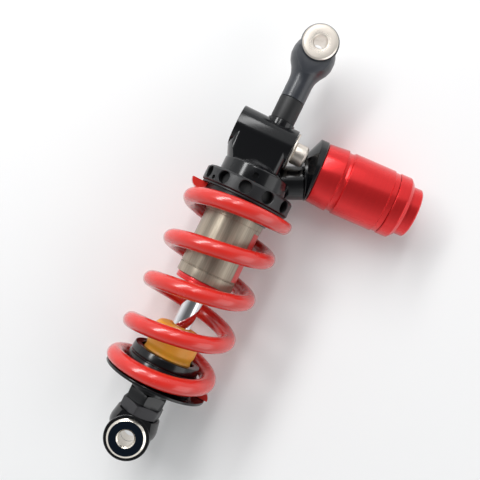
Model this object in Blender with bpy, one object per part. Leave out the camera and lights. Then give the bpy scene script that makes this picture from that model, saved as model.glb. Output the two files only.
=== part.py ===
"""Motorcycle rear shock absorber with a piggyback reservoir, as an assembly of separate pieces.

Metres, +Z up. The origin is the centre of the upper bolt, and the damper axis runs down
-Z from it to the lower bolt. Both bolts lie along Y, -Y is the front and the reservoir is on +X.
The damper is drawn fully extended. Every size is a named value here, and pieces that fit
together share the same values and a named clearance.
"""

import math

import bmesh
import bpy
from mathutils import Matrix, Vector

MM = 0.001

# ---------------------------------------------------------------- shared clearances and fineness
GAP = 0.3 * MM             # between two faces that touch on the real object
RUNNING_GAP = 0.3 * MM     # radial, between a moving piece and its guide
SEAL_GAP = 0.2 * MM        # radial, between a seal or band and the bore it runs in
OVERSHOOT = 2.0 * MM       # how far a cutter runs past the face it opens
FINE = 28                  # sides of a large turned piece
MEDIUM = 20
COARSE = 12                # sides of a seal or a small pin

# ---------------------------------------------------------------- overall
EYE_TO_EYE = 315.0 * MM    # upper bolt to lower bolt, extended

# ---------------------------------------------------------------- damper
SHAFT_RADIUS = 7.0 * MM
PISTON_STUD_RADIUS = 5.0 * MM
NEEDLE_RADIUS = 2.0 * MM   # rebound needle, inside the shaft
TUBE_BORE_RADIUS = 18.0 * MM
TUBE_WALL = 3.7 * MM
TUBE_COLLAR_STEP = 0.4 * MM
TUBE_COLLAR_LENGTH = 28.0 * MM
TUBE_GROOVE_UP = 6.9 * MM      # groove line above the lower end of the tube
TUBE_GROOVE_WIDTH = 0.9 * MM
TUBE_GROOVE_DEPTH = 0.6 * MM
FREE_SHAFT = 33.0 * MM         # bare shaft between the tube end cap and the bump stop
END_CAP_HEIGHT = 4.3 * MM
END_CAP_INSET = 1.4 * MM       # tube end cap radius below the tube radius
SEAL_HEAD_HEIGHT = 16.0 * MM
TOP_OUT_HEIGHT = 5.5 * MM
PISTON_HEIGHT = 12.0 * MM
SHIM_STACK_HEIGHT = 2.2 * MM
PISTON_NUT_HEIGHT = 5.0 * MM
PISTON_NUT_FLATS = 16.0 * MM

# ---------------------------------------------------------------- head
HEAD_AXIS_DROP = 77.6 * MM     # upper bolt down to the axis of the valve barrel
BARREL_RADIUS = 15.5 * MM
BARREL_LEFT = 28.3 * MM
BARREL_RIGHT = 15.3 * MM
BOSS_RADIUS = 10.4 * MM        # raised boss that the upper eye screws into
BOSS_RISE = 0.9 * MM
SADDLE_HALF_WIDTH = 15.2 * MM
NECK_TOP_DROP = 23.4 * MM      # barrel axis down to the ledge of the neck
NECK_HEIGHT = 10.9 * MM
THREAD_WALL = 2.0 * MM         # threaded skirt that carries the preload ring
NECK_LIP = 1.2 * MM            # neck radius above the skirt radius
SKIRT_LENGTH = 25.1 * MM
CAVITY_LAND = 1.5 * MM         # wall left above the oil space, under the ledge of the neck
NUT_ROOM_RADIUS = 11.0 * MM    # narrow room above the oil space, for the piston nut at full stroke
NUT_ROOM_HEIGHT = 8.0 * MM
NECK_PORT_RADIUS = 1.9 * MM

# ---------------------------------------------------------------- compression valve and its knob
VALVE_RADIUS = 6.6 * MM
VALVE_DEPTH = 23.0 * MM
VALVE_FLANGE_RADIUS = 14.2 * MM
VALVE_FLANGE_HEIGHT = 1.6 * MM
VALVE_STUB_RADIUS = 5.0 * MM
VALVE_STUB_HEIGHT = 3.0 * MM
KNOB_RADIUS = 8.1 * MM
KNOB_HEIGHT = 9.9 * MM
KNOB_CHAMFER = 1.6 * MM
END_PLUG_RADIUS = 10.5 * MM
END_PLUG_HEIGHT = 7.0 * MM

# ---------------------------------------------------------------- upper eye shank
SHANK_RADIUS = 9.25 * MM
SHANK_BARE_END = 43.5 * MM     # upper bolt down to the end of the bare shank
STUD_RADIUS = 7.0 * MM
STUD_ENGAGEMENT = 7.6 * MM     # thread length inside the head

# ---------------------------------------------------------------- preload ring and spring seats
RING_RADIUS = 34.0 * MM
RING_HEIGHT = 11.5 * MM
RING_CHAMFER = 1.8 * MM
RING_HOLES = 12
RING_HOLE_RADIUS = 4.5 * MM
RING_HOLE_DEPTH = 5.5 * MM
RING_HOLE_START = math.radians(-93.4)
LOCK_SCREW_RADIUS = 1.3 * MM
SEAT_THICKNESS = 1.2 * MM
SEAT_BOSS_HEIGHT = 7.2 * MM
SEAT_BOSS_CLEARANCE = 0.7 * MM     # spring bore to the seat boss

# ---------------------------------------------------------------- coil spring
WIRE_RADIUS = 6.0 * MM
COIL_RADIUS = 35.0 * MM        # spring axis to the centre of the wire
COIL_TURNS = 5.55
COIL_START = math.radians(195.0)
CLOSED_TURNS = 0.78            # turns at each end that lie closed
CLOSED_BLEND = 0.4             # turns over which the pitch opens
CLOSED_PITCH = 7.0 * MM
TIP_GRIND = 0.2 * MM           # wire centre below the ground face, at the tip
SECTIONS_PER_TURN = 18
WIRE_SIDES = 10

# ---------------------------------------------------------------- lower perch, bump stop and nuts
PERCH_RISE = 45.5 * MM         # lower bolt up to the spring face of the perch
PERCH_RADIUS = 39.0 * MM
PERCH_THICKNESS = 2.0 * MM
PERCH_BOSS_HEIGHT = 19.5 * MM
PERCH_BOSS_TAPER = 2.6 * MM
PERCH_HUB_RADIUS = 15.2 * MM
BUMP_RADIUS = 18.8 * MM
BUMP_HEIGHT = 33.7 * MM
BUMP_POCKET_DEPTH = 12.0 * MM
HEX_FLATS = 27.5 * MM
HEX_HEIGHT = 8.8 * MM
HEX_TURN = math.radians(2.6)
ADJUSTER_FLATS = 28.0 * MM
ADJUSTER_HEIGHT = 8.2 * MM
ADJUSTER_TURN = math.radians(-9.7)
EYE_NECK_RADIUS = 10.5 * MM    # threaded neck of the lower eye
SHAFT_END_RISE = 19.6 * MM     # lower bolt up to the end of the shaft
LOWER_EYE_LAND = 0.3 * MM      # turned face above the round of the lower eye

# ---------------------------------------------------------------- reservoir and its arm
ARM_SLOPE = math.radians(26.1)
ARM_RADIUS = 12.9 * MM
COLLAR_RADIUS = 17.6 * MM       # collar of the elbow, level with the arm underneath
COLLAR_TOP_LENGTH = 3.3 * MM
COLLAR_BOTTOM_LENGTH = 0.3 * MM
KNOB_RELIEF = 1.0 * MM         # milled clear of the compression knob
ARM_START = Vector((10.0 * MM, 17.0 * MM, -104.5 * MM))    # inside the neck, on the axis of the arm
OIL_WAY_RADIUS = 3.5 * MM
RESERVOIR_SLOPE = math.radians(2.6)
RESERVOIR_BASE = Vector((40.7 * MM, 17.0 * MM, -80.5 * MM))
RESERVOIR_BORE_RADIUS = 20.3 * MM
RESERVOIR_RADIUS = 24.4 * MM
RESERVOIR_LENGTH = 57.8 * MM
BAND_START_INSET = 1.1 * MM    # first band is narrower at the arm
BAND_FLARE = 0.2 * MM
FIRST_GROOVE = 16.4 * MM
GROOVE_WIDTH = 4.2 * MM
FIRST_GROOVE_DEPTH = 1.4 * MM
END_GROOVE_WIDTH = 3.8 * MM
END_GROOVE_DEPTH = 1.0 * MM
FLANGE_TOP_THICKNESS = 7.0 * MM    # the flange tapers from its top edge to its bottom edge
FLANGE_BOTTOM_THICKNESS = 1.2 * MM
FLANGE_INSET = 0.4 * MM
SPIGOT_LENGTH = 8.0 * MM
RESERVOIR_WALL_GAP = 0.3 * MM
CAP_BAND = 8.6 * MM            # full-width band of the end cap
CAP_CHAMFER = 3.0 * MM
CAP_STEP_RADIUS = 19.0 * MM
CAP_STEP_HEIGHT = 8.5 * MM
CAP_RECESS_RADIUS = 11.0 * MM
FLOATING_PISTON_START = 22.0 * MM
FLOATING_PISTON_LENGTH = 13.0 * MM
GAS_VALVE_RADIUS = 3.6 * MM

# ---------------------------------------------------------------- eyes and their spherical bearings


class Eye:
    """Sizes of one bolt eye. Widths are measured from the middle of the eye along the bolt."""

    def __init__(self, prefix, height, bolt, radius, half_width, race, ball, flange, sleeve_wall):
        self.prefix = prefix
        self.height = height
        self.bolt_radius = bolt
        self.radius = radius
        self.half_width = half_width
        self.flat_half_width = half_width - 0.6 * MM
        self.race_radius = race
        self.bore_radius = race + GAP
        self.ball_radius = ball
        self.ball_half_width = 0.56 * ball
        self.race_half_width = self.ball_half_width - 1.0 * MM
        self.flange_radius = flange
        self.flange_thickness = 1.7 * MM
        self.sleeve_radius = bolt + sleeve_wall
        self.shoulder_radius = self.sleeve_radius + 2.0 * MM
        self.circlip_start = self.race_half_width + GAP
        self.circlip_thickness = 1.2 * MM
        self.groove_radius = self.bore_radius + 1.0 * MM


UPPER = Eye("upper", 0.0, bolt=5.0 * MM, radius=14.0 * MM, half_width=11.0 * MM,
            race=11.0 * MM, ball=9.2 * MM, flange=13.0 * MM, sleeve_wall=1.0 * MM)
LOWER = Eye("lower", -EYE_TO_EYE, bolt=6.0 * MM, radius=16.8 * MM, half_width=12.4 * MM,
            race=13.2 * MM, ball=11.0 * MM, flange=14.2 * MM, sleeve_wall=1.1 * MM)
UPPER_SHOULDER_RADIUS = 16.2 * MM
LOWER_SHOULDER_RADIUS = 18.2 * MM
LOWER_TOP_RADIUS = 16.4 * MM

# ---------------------------------------------------------------- heights along the damper axis
HEAD_AXIS_Z = -HEAD_AXIS_DROP
BOSS_TOP_Z = HEAD_AXIS_Z + BARREL_RADIUS + BOSS_RISE
NECK_TOP_Z = HEAD_AXIS_Z - NECK_TOP_DROP
SKIRT_TOP_Z = NECK_TOP_Z - NECK_HEIGHT
SKIRT_END_Z = SKIRT_TOP_Z - SKIRT_LENGTH
TUBE_TOP_Z = SKIRT_TOP_Z - 1.5 * MM
CAVITY_TOP_Z = NECK_TOP_Z - CAVITY_LAND
NUT_ROOM_TOP_Z = CAVITY_TOP_Z + NUT_ROOM_HEIGHT
RING_TOP_Z = SKIRT_TOP_Z - GAP
RING_END_Z = RING_TOP_Z - RING_HEIGHT
SEAT_TOP_Z = RING_END_Z - GAP
SPRING_TOP_Z = SEAT_TOP_Z - SEAT_THICKNESS - GAP
PERCH_FACE_Z = -EYE_TO_EYE + PERCH_RISE
SPRING_END_Z = PERCH_FACE_Z + GAP
BUMP_FLOOR_Z = PERCH_FACE_Z + PERCH_BOSS_HEIGHT - BUMP_POCKET_DEPTH
BUMP_TOP_Z = BUMP_FLOOR_Z + GAP + BUMP_HEIGHT
CAP_END_Z = BUMP_TOP_Z + FREE_SHAFT
TUBE_END_Z = CAP_END_Z + END_CAP_HEIGHT + GAP
SEAL_HEAD_END_Z = TUBE_END_Z + 0.6 * MM
SEAL_HEAD_TOP_Z = SEAL_HEAD_END_Z + SEAL_HEAD_HEIGHT
TOP_OUT_TOP_Z = SEAL_HEAD_TOP_Z + GAP + TOP_OUT_HEIGHT
SHAFT_SHOULDER_Z = TOP_OUT_TOP_Z + 2.2 * MM
PISTON_END_Z = SHAFT_SHOULDER_Z + GAP + SHIM_STACK_HEIGHT + GAP
PISTON_TOP_Z = PISTON_END_Z + PISTON_HEIGHT
NUT_END_Z = PISTON_TOP_Z + GAP + SHIM_STACK_HEIGHT + GAP
NUT_TOP_Z = NUT_END_Z + PISTON_NUT_HEIGHT
SHAFT_END_Z = -EYE_TO_EYE + SHAFT_END_RISE
LOWER_EYE_TOP_Z = -EYE_TO_EYE + LOWER.radius + LOWER_EYE_LAND
ADJUSTER_END_Z = LOWER_EYE_TOP_Z + GAP
ADJUSTER_TOP_Z = ADJUSTER_END_Z + ADJUSTER_HEIGHT
HEX_END_Z = ADJUSTER_TOP_Z + GAP
HEX_TOP_Z = HEX_END_Z + HEX_HEIGHT
HUB_END_Z = HEX_TOP_Z + GAP
EYE_NECK_TOP_Z = PERCH_FACE_Z - PERCH_THICKNESS - 1.5 * MM

# ---------------------------------------------------------------- radii that follow their neighbour
TUBE_RADIUS = TUBE_BORE_RADIUS + TUBE_WALL
TUBE_COLLAR_RADIUS = TUBE_RADIUS + TUBE_COLLAR_STEP
TUBE_SEAT_RADIUS = TUBE_COLLAR_RADIUS + GAP
SKIRT_RADIUS = TUBE_SEAT_RADIUS + THREAD_WALL
NECK_RADIUS = SKIRT_RADIUS + NECK_LIP
RING_BORE_RADIUS = SKIRT_RADIUS + GAP
INNER_RADIUS = TUBE_BORE_RADIUS - GAP
SHAFT_HOLE_RADIUS = SHAFT_RADIUS + RUNNING_GAP
NEEDLE_HOLE_RADIUS = NEEDLE_RADIUS + RUNNING_GAP
STUD_HOLE_RADIUS = STUD_RADIUS + GAP
NECK_HOLE_RADIUS = EYE_NECK_RADIUS + GAP
VALVE_BORE_RADIUS = VALVE_RADIUS + GAP
SPRING_BORE_RADIUS = COIL_RADIUS - WIRE_RADIUS
SEAT_BOSS_RADIUS = SPRING_BORE_RADIUS - SEAT_BOSS_CLEARANCE
RESERVOIR_INNER_RADIUS = RESERVOIR_BORE_RADIUS - RESERVOIR_WALL_GAP
CAP_STEP_START = RESERVOIR_LENGTH + GAP + CAP_BAND + CAP_CHAMFER

# quarter turns that take local +Z to the front, the back, the right and the left
TO_FRONT = Matrix(((1, 0, 0, 0), (0, 0, -1, 0), (0, 1, 0, 0), (0, 0, 0, 1)))
TO_BACK = Matrix(((1, 0, 0, 0), (0, 0, 1, 0), (0, -1, 0, 0), (0, 0, 0, 1)))
TO_RIGHT = Matrix(((0, 0, 1, 0), (0, 1, 0, 0), (-1, 0, 0, 0), (0, 0, 0, 1)))
TO_LEFT = Matrix(((0, 0, -1, 0), (0, 1, 0, 0), (1, 0, 0, 0), (0, 0, 0, 1)))
SEAM_TURN = Matrix.Rotation(math.radians(3.7), 4, "Z")     # keeps a tool's corners off its body's seams


# ================================================================ materials

def finish(name, colour, roughness, metallic):
    """A Principled material of one colour."""
    material = bpy.data.materials.new(name)
    material.use_nodes = True
    shader = material.node_tree.nodes["Principled BSDF"]
    shader.inputs["Base Color"].default_value = (*colour, 1.0)
    shader.inputs["Roughness"].default_value = roughness
    shader.inputs["Metallic"].default_value = metallic
    material.diffuse_color = (*colour, 1.0)
    return material


def make_finishes():
    return {
        "black_anodised": finish("black_anodised", (0.012, 0.012, 0.014), 0.32, 0.6),
        "charcoal_anodised": finish("charcoal_anodised", (0.045, 0.045, 0.050), 0.45, 0.7),
        "gunmetal": finish("gunmetal", (0.050, 0.053, 0.065), 0.35, 0.8),
        "red_anodised": finish("red_anodised", (0.55, 0.015, 0.020), 0.28, 0.8),
        "red_powder_coat": finish("red_powder_coat", (0.62, 0.020, 0.015), 0.25, 0.0),
        "hard_anodised": finish("hard_anodised", (0.20, 0.175, 0.135), 0.40, 0.8),
        "chrome": finish("chrome", (0.75, 0.75, 0.76), 0.06, 1.0),
        "steel": finish("steel", (0.50, 0.48, 0.45), 0.35, 1.0),
        "bright_aluminium": finish("bright_aluminium", (0.62, 0.58, 0.52), 0.33, 1.0),
        "brass": finish("brass", (0.60, 0.42, 0.15), 0.30, 1.0),
        "urethane": finish("urethane", (0.80, 0.42, 0.05), 0.50, 0.0),
        "rubber": finish("rubber", (0.015, 0.015, 0.015), 0.70, 0.0),
        "blued_steel": finish("blued_steel", (0.025, 0.035, 0.055), 0.30, 0.8),
    }


# ================================================================ modelling helpers

def group(name, place=Matrix.Identity(4)):
    """An empty that carries the pieces which share one axis."""
    empty = bpy.data.objects.new(name, None)
    empty.matrix_world = place
    bpy.context.scene.collection.objects.link(empty)
    return empty


def add_object(name, bm, material=None, parent=None, place=Matrix.Identity(4)):
    """Turns a bmesh into an object under its parent, shaded smooth with sharp corners."""
    bmesh.ops.recalc_face_normals(bm, faces=bm.faces)
    mesh = bpy.data.meshes.new(name)
    bm.to_mesh(mesh)
    bm.free()
    mesh.shade_smooth()
    mesh.set_sharp_from_angle(angle=math.radians(32.0))
    made = bpy.data.objects.new(name, mesh)
    bpy.context.scene.collection.objects.link(made)
    made.parent = parent
    made.matrix_basis = place
    if material is not None:
        mesh.materials.append(material)
    return made


def turned(outline, sides):
    """A bmesh turned about Z from (radius, height) points. With no point on the axis it is a ring."""
    bm = bmesh.new()
    points = [bm.verts.new((radius, 0.0, height)) for radius, height in outline]
    if all(radius > 0.0 for radius, _ in outline):
        points.append(points[0])
    edges = [bm.edges.new(pair) for pair in zip(points, points[1:])]
    bmesh.ops.spin(bm, geom=list(bm.verts) + edges, cent=(0, 0, 0), axis=(0, 0, 1), dvec=(0, 0, 0),
                   angle=math.tau, steps=sides, use_merge=True, use_duplicate=False)
    bmesh.ops.remove_doubles(bm, verts=bm.verts, dist=0.001 * MM)
    return bm


def cutter(outline, sides):
    """A turned tool whose corners miss the seams of the body that it cuts."""
    bm = turned(outline, sides)
    bmesh.ops.transform(bm, matrix=SEAM_TURN, verts=bm.verts)
    return bm


def disc(radius, start, end, chamfer=0.0):
    """The outline of a plain round bar, chamfered at its far end."""
    if chamfer == 0.0:
        return [(0.0, start), (radius, start), (radius, end), (0.0, end)]
    edge = end - math.copysign(chamfer, end - start)
    return [(0.0, start), (radius, start), (radius, edge), (radius - chamfer, end), (0.0, end)]


def ring(inner, outer, start, end):
    """The outline of a plain ring."""
    return [(inner, start), (outer, start), (outer, end), (inner, end)]


def block(low, high):
    """A bmesh box between two corners."""
    bm = bmesh.new()
    size = Vector(high) - Vector(low)
    centre = (Vector(high) + Vector(low)) / 2.0
    bmesh.ops.create_cube(bm, size=1.0, matrix=Matrix.Translation(centre) @ Matrix.Diagonal((*size, 1.0)))
    return bm


def rods(places, radius, sides):
    """Separate round rods in one bmesh. Each place is (frame, start, end) along the frame's Z."""
    bm = bmesh.new()
    for frame, start, end in places:
        centre = frame @ Matrix.Translation((0.0, 0.0, (start + end) / 2.0)) @ SEAM_TURN
        bmesh.ops.create_cone(bm, cap_ends=True, segments=sides, radius1=radius, radius2=radius,
                              depth=abs(end - start), matrix=centre)
    return bm


def boolean(body, tool_bm, operation, place=Matrix.Identity(4)):
    """Cuts, joins or trims a body with a hidden tool that has the body's own frame."""
    tool = add_object(f"tool_{body.name}_{len(body.modifiers)}", tool_bm, parent=body.parent,
                      place=body.matrix_basis @ place)
    tool.hide_render = True
    tool.display_type = "WIRE"
    modifier = body.modifiers.new(operation.lower(), "BOOLEAN")
    modifier.solver = "EXACT"
    modifier.operation = operation
    modifier.object = tool


def hex_radius(across_flats):
    return across_flats / 2.0 / math.cos(math.radians(30.0))


def radial_frame(angle, height):
    """A frame on the damper axis whose Z points outwards at the angle."""
    return Matrix.Translation((0.0, 0.0, height)) @ Matrix.Rotation(angle, 4, "Z") @ TO_RIGHT


# ================================================================ eyes

def make_bearing(eye, swivel, body, finishes):
    """Spherical bearing of one eye: race and circlips stay in the eye, ball and spacers swivel."""
    turn_race = []
    inner = eye.ball_radius + RUNNING_GAP
    arc = math.asin(eye.race_half_width / inner)
    for step in range(-2, 3):
        angle = arc * step / 2.0
        turn_race.append((inner * math.cos(angle), inner * math.sin(angle)))
    turn_race += [(eye.race_radius, eye.race_half_width), (eye.race_radius, -eye.race_half_width)]
    at_eye = Matrix.Translation((0.0, 0.0, eye.height))
    add_object(f"{eye.prefix}_bearing_race", turned(turn_race, MEDIUM), finishes["steel"], body,
               at_eye @ TO_FRONT)

    bore = eye.sleeve_radius + GAP
    arc = math.asin(eye.ball_half_width / eye.ball_radius)
    turn_ball = []
    for step in range(-3, 4):
        angle = arc * step / 3.0
        turn_ball.append((eye.ball_radius * math.cos(angle), eye.ball_radius * math.sin(angle)))
    turn_ball += [(bore, eye.ball_half_width), (bore, -eye.ball_half_width)]
    add_object(f"{eye.prefix}_bearing_ball", turned(turn_ball, MEDIUM), finishes["chrome"], swivel, TO_FRONT)

    shoulder = eye.ball_half_width + GAP
    face = eye.half_width + GAP
    chamfer = 0.8 * MM
    spacer = [
        (eye.bolt_radius, GAP), (eye.sleeve_radius, GAP), (eye.sleeve_radius, shoulder),
        (eye.shoulder_radius, shoulder), (eye.shoulder_radius, face), (eye.flange_radius, face),
        (eye.flange_radius, face + eye.flange_thickness - chamfer),
        (eye.flange_radius - chamfer, face + eye.flange_thickness),
        (eye.bolt_radius, face + eye.flange_thickness),
    ]
    slot_width = 5.0 * MM
    clip = ring(eye.bore_radius - 2.3 * MM, eye.groove_radius - GAP, eye.circlip_start,
                eye.circlip_start + eye.circlip_thickness)
    spacer_finish = finishes["bright_aluminium"] if eye is UPPER else finishes["blued_steel"]
    for side, turn in (("front", TO_FRONT), ("back", TO_BACK)):
        add_object(f"{eye.prefix}_spacer_{side}", turned(spacer, MEDIUM), spacer_finish, swivel, turn)
        circlip = add_object(f"{eye.prefix}_circlip_{side}", turned(clip, COARSE), finishes["steel"], body,
                             at_eye @ turn)
        boolean(circlip, block((0.0, -slot_width / 2.0, 0.0),
                               (eye.radius, slot_width / 2.0, eye.half_width)), "DIFFERENCE")


def bearing_bore(eye):
    """The tool that bores an eye, with both circlip grooves, about Z before it is turned to the bolt."""
    run_out = eye.half_width + OVERSHOOT
    groove_in = eye.circlip_start - GAP
    groove_out = eye.circlip_start + eye.circlip_thickness + GAP
    wide, narrow = eye.groove_radius, eye.bore_radius
    return cutter([
        (0.0, -run_out), (narrow, -run_out), (narrow, -groove_out), (wide, -groove_out), (wide, -groove_in),
        (narrow, -groove_in), (narrow, groove_in), (wide, groove_in), (wide, groove_out),
        (narrow, groove_out), (narrow, run_out), (0.0, run_out),
    ], MEDIUM)


def finish_eye(eye, bar):
    """Mills the flats of a turned bar, adds the round eye and bores it."""
    reach = EYE_TO_EYE
    boolean(bar, block((-reach, -eye.flat_half_width, -2.0 * reach),
                       (reach, eye.flat_half_width, reach)), "INTERSECT")
    round_eye = turned(disc(eye.radius, -eye.half_width, eye.half_width), FINE)
    at_eye = Matrix.Translation((0.0, 0.0, eye.height)) @ TO_FRONT
    boolean(bar, round_eye, "UNION", at_eye)
    boolean(bar, bearing_bore(eye), "DIFFERENCE", at_eye)


def make_upper_eye(body, finishes):
    """Round bar with a long shank, a swelling below the eye and a threaded stud."""
    stud_end = BOSS_TOP_Z - STUD_ENGAGEMENT
    shoulder = UPPER_SHOULDER_RADIUS
    outline = [
        (0.0, 2.0 * MM), (shoulder - 3.4 * MM, 2.0 * MM), (shoulder - 0.9 * MM, -3.0 * MM),
        (shoulder, -7.0 * MM), (shoulder, -12.5 * MM), (shoulder - 1.6 * MM, -17.0 * MM),
        (SHANK_RADIUS + 2.4 * MM, -21.5 * MM), (SHANK_RADIUS + 0.6 * MM, -25.5 * MM),
        (SHANK_RADIUS, -29.5 * MM), (SHANK_RADIUS, -SHANK_BARE_END), (STUD_RADIUS, -SHANK_BARE_END),
        (STUD_RADIUS, stud_end), (0.0, stud_end),
    ]
    bar = add_object("upper_eye", turned(outline, FINE), finishes["gunmetal"], body)
    finish_eye(UPPER, bar)
    sleeve = ring(STUD_HOLE_RADIUS, SHANK_RADIUS, -SHANK_BARE_END - GAP, BOSS_TOP_Z + GAP)
    add_object("shank_sleeve", turned(sleeve, MEDIUM), finishes["black_anodised"], body)


def make_lower_eye(body, finishes):
    """Round bar with milled flats, and a hollow threaded neck that takes the shaft, nut and adjuster."""
    centre = LOWER.height
    low = centre - 1.0 * MM
    top = LOWER_EYE_TOP_Z
    outline = [
        (0.0, low), (LOWER_SHOULDER_RADIUS - 3.0 * MM, low),
        (LOWER_SHOULDER_RADIUS, centre + 5.0 * MM), (LOWER_SHOULDER_RADIUS, centre + 9.0 * MM),
        (LOWER_TOP_RADIUS, top), (EYE_NECK_RADIUS, top), (EYE_NECK_RADIUS, EYE_NECK_TOP_Z),
        (0.0, EYE_NECK_TOP_Z),
    ]
    bar = add_object("lower_eye", turned(outline, FINE), finishes["black_anodised"], body)
    finish_eye(LOWER, bar)
    socket = disc(SHAFT_RADIUS + GAP, SHAFT_END_Z - 1.2 * MM, EYE_NECK_TOP_Z + OVERSHOOT)
    boolean(bar, cutter(socket, MEDIUM), "DIFFERENCE")


# ================================================================ head and compression valve

def make_head(body, finishes):
    """Machined head: valve barrel across, boss on top, neck with a threaded skirt, and the arm."""
    barrel = turned(disc(BARREL_RADIUS, -BARREL_LEFT, BARREL_RIGHT), FINE)
    at_barrel = Matrix.Translation((0.0, 0.0, HEAD_AXIS_Z)) @ TO_RIGHT
    bmesh.ops.transform(barrel, matrix=at_barrel, verts=barrel.verts)
    head = add_object("head", barrel, finishes["black_anodised"], body)

    boolean(head, turned(disc(BOSS_RADIUS, HEAD_AXIS_Z, BOSS_TOP_Z), MEDIUM), "UNION")

    saddle_top = HEAD_AXIS_Z
    flare_radius = BARREL_LEFT + 0.3 * MM
    flare_z = NECK_TOP_Z + 9.0 * MM
    saddle = add_object("tool_head_saddle", turned([
        (0.0, NECK_TOP_Z - 1.0 * MM), (NECK_RADIUS - 0.4 * MM, NECK_TOP_Z - 1.0 * MM),
        (NECK_RADIUS - 0.4 * MM, NECK_TOP_Z), (flare_radius, flare_z), (flare_radius, saddle_top),
        (0.0, saddle_top),
    ], FINE), parent=body)
    boolean(saddle, block((-2.0 * BARREL_LEFT, -SADDLE_HALF_WIDTH, NECK_TOP_Z - 5.0 * MM),
                          (BARREL_RIGHT - 0.4 * MM, SADDLE_HALF_WIDTH, 0.0)), "INTERSECT")
    join_tool(head, saddle)

    boolean(head, turned([
        (0.0, SKIRT_END_Z), (SKIRT_RADIUS, SKIRT_END_Z), (SKIRT_RADIUS, SKIRT_TOP_Z),
        (NECK_RADIUS, SKIRT_TOP_Z), (NECK_RADIUS, NECK_TOP_Z), (0.0, NECK_TOP_Z),
    ], FINE), "UNION")

    arm_frame = arm_place()
    arm_bm = turned(disc(ARM_RADIUS, -arm_length(), 0.0), FINE)
    bmesh.ops.transform(arm_bm, matrix=arm_frame, verts=arm_bm.verts)
    arm = add_object("tool_head_arm", arm_bm, parent=body)
    reach = 4.0 * RING_RADIUS
    boolean(arm, block((-reach, -reach, SKIRT_TOP_Z + 0.4 * MM), (reach, reach, 0.0)), "INTERSECT")
    join_tool(head, arm)

    boolean(head, cutter([
        (0.0, NUT_ROOM_TOP_Z), (NUT_ROOM_RADIUS, NUT_ROOM_TOP_Z), (NUT_ROOM_RADIUS, CAVITY_TOP_Z),
        (TUBE_BORE_RADIUS, CAVITY_TOP_Z), (TUBE_BORE_RADIUS, TUBE_TOP_Z + GAP),
        (TUBE_SEAT_RADIUS, TUBE_TOP_Z + GAP), (TUBE_SEAT_RADIUS, SKIRT_END_Z - OVERSHOOT),
        (0.0, SKIRT_END_Z - OVERSHOOT),
    ], FINE), "DIFFERENCE")
    stud_hole = disc(STUD_HOLE_RADIUS, BOSS_TOP_Z + OVERSHOOT, BOSS_TOP_Z - STUD_ENGAGEMENT - GAP)
    boolean(head, cutter(stud_hole, MEDIUM), "DIFFERENCE")
    valve_bore = cutter(disc(VALVE_BORE_RADIUS, BARREL_RIGHT + OVERSHOOT, BARREL_RIGHT - VALVE_DEPTH - 1.0 * MM),
                        MEDIUM)
    boolean(head, valve_bore, "DIFFERENCE", at_barrel)
    plug_bore = cutter(disc(END_PLUG_RADIUS + GAP, -BARREL_LEFT - OVERSHOOT, -BARREL_LEFT + END_PLUG_HEIGHT + 1.0 * MM),
                       MEDIUM)
    boolean(head, plug_bore, "DIFFERENCE", at_barrel)
    oil_ways = rods([
        (Matrix.Identity(4), NUT_ROOM_TOP_Z - OVERSHOOT, HEAD_AXIS_Z),
        (arm_frame, -arm_length() - 4.0 * MM, OVERSHOOT),
    ], OIL_WAY_RADIUS, COARSE)
    boolean(head, oil_ways, "DIFFERENCE")
    port_z = (NECK_TOP_Z + SKIRT_TOP_Z) / 2.0 - 1.0 * MM
    port = rods([(radial_frame(math.radians(-88.0), port_z), NECK_RADIUS - 3.0 * MM, NECK_RADIUS + OVERSHOOT)],
                NECK_PORT_RADIUS, COARSE)
    boolean(head, port, "DIFFERENCE")


def join_tool(body, tool):
    """Adds a ready-made tool to a body."""
    tool.hide_render = True
    tool.display_type = "WIRE"
    modifier = body.modifiers.new("union", "BOOLEAN")
    modifier.solver = "EXACT"
    modifier.operation = "UNION"
    modifier.object = tool


def make_end_plug(body, finishes):
    """Screwed plug in the left end of the valve barrel, with a hexagon socket."""
    at_left = Matrix.Translation((-BARREL_LEFT, 0.0, HEAD_AXIS_Z)) @ TO_LEFT
    plug = add_object("head_end_plug", turned(disc(END_PLUG_RADIUS, -END_PLUG_HEIGHT, -GAP, 0.6 * MM), MEDIUM),
                      finishes["black_anodised"], body, at_left)
    socket = cutter(disc(hex_radius(8.0 * MM), -4.0 * MM, OVERSHOOT), 6)
    boolean(plug, socket, "DIFFERENCE")


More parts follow.
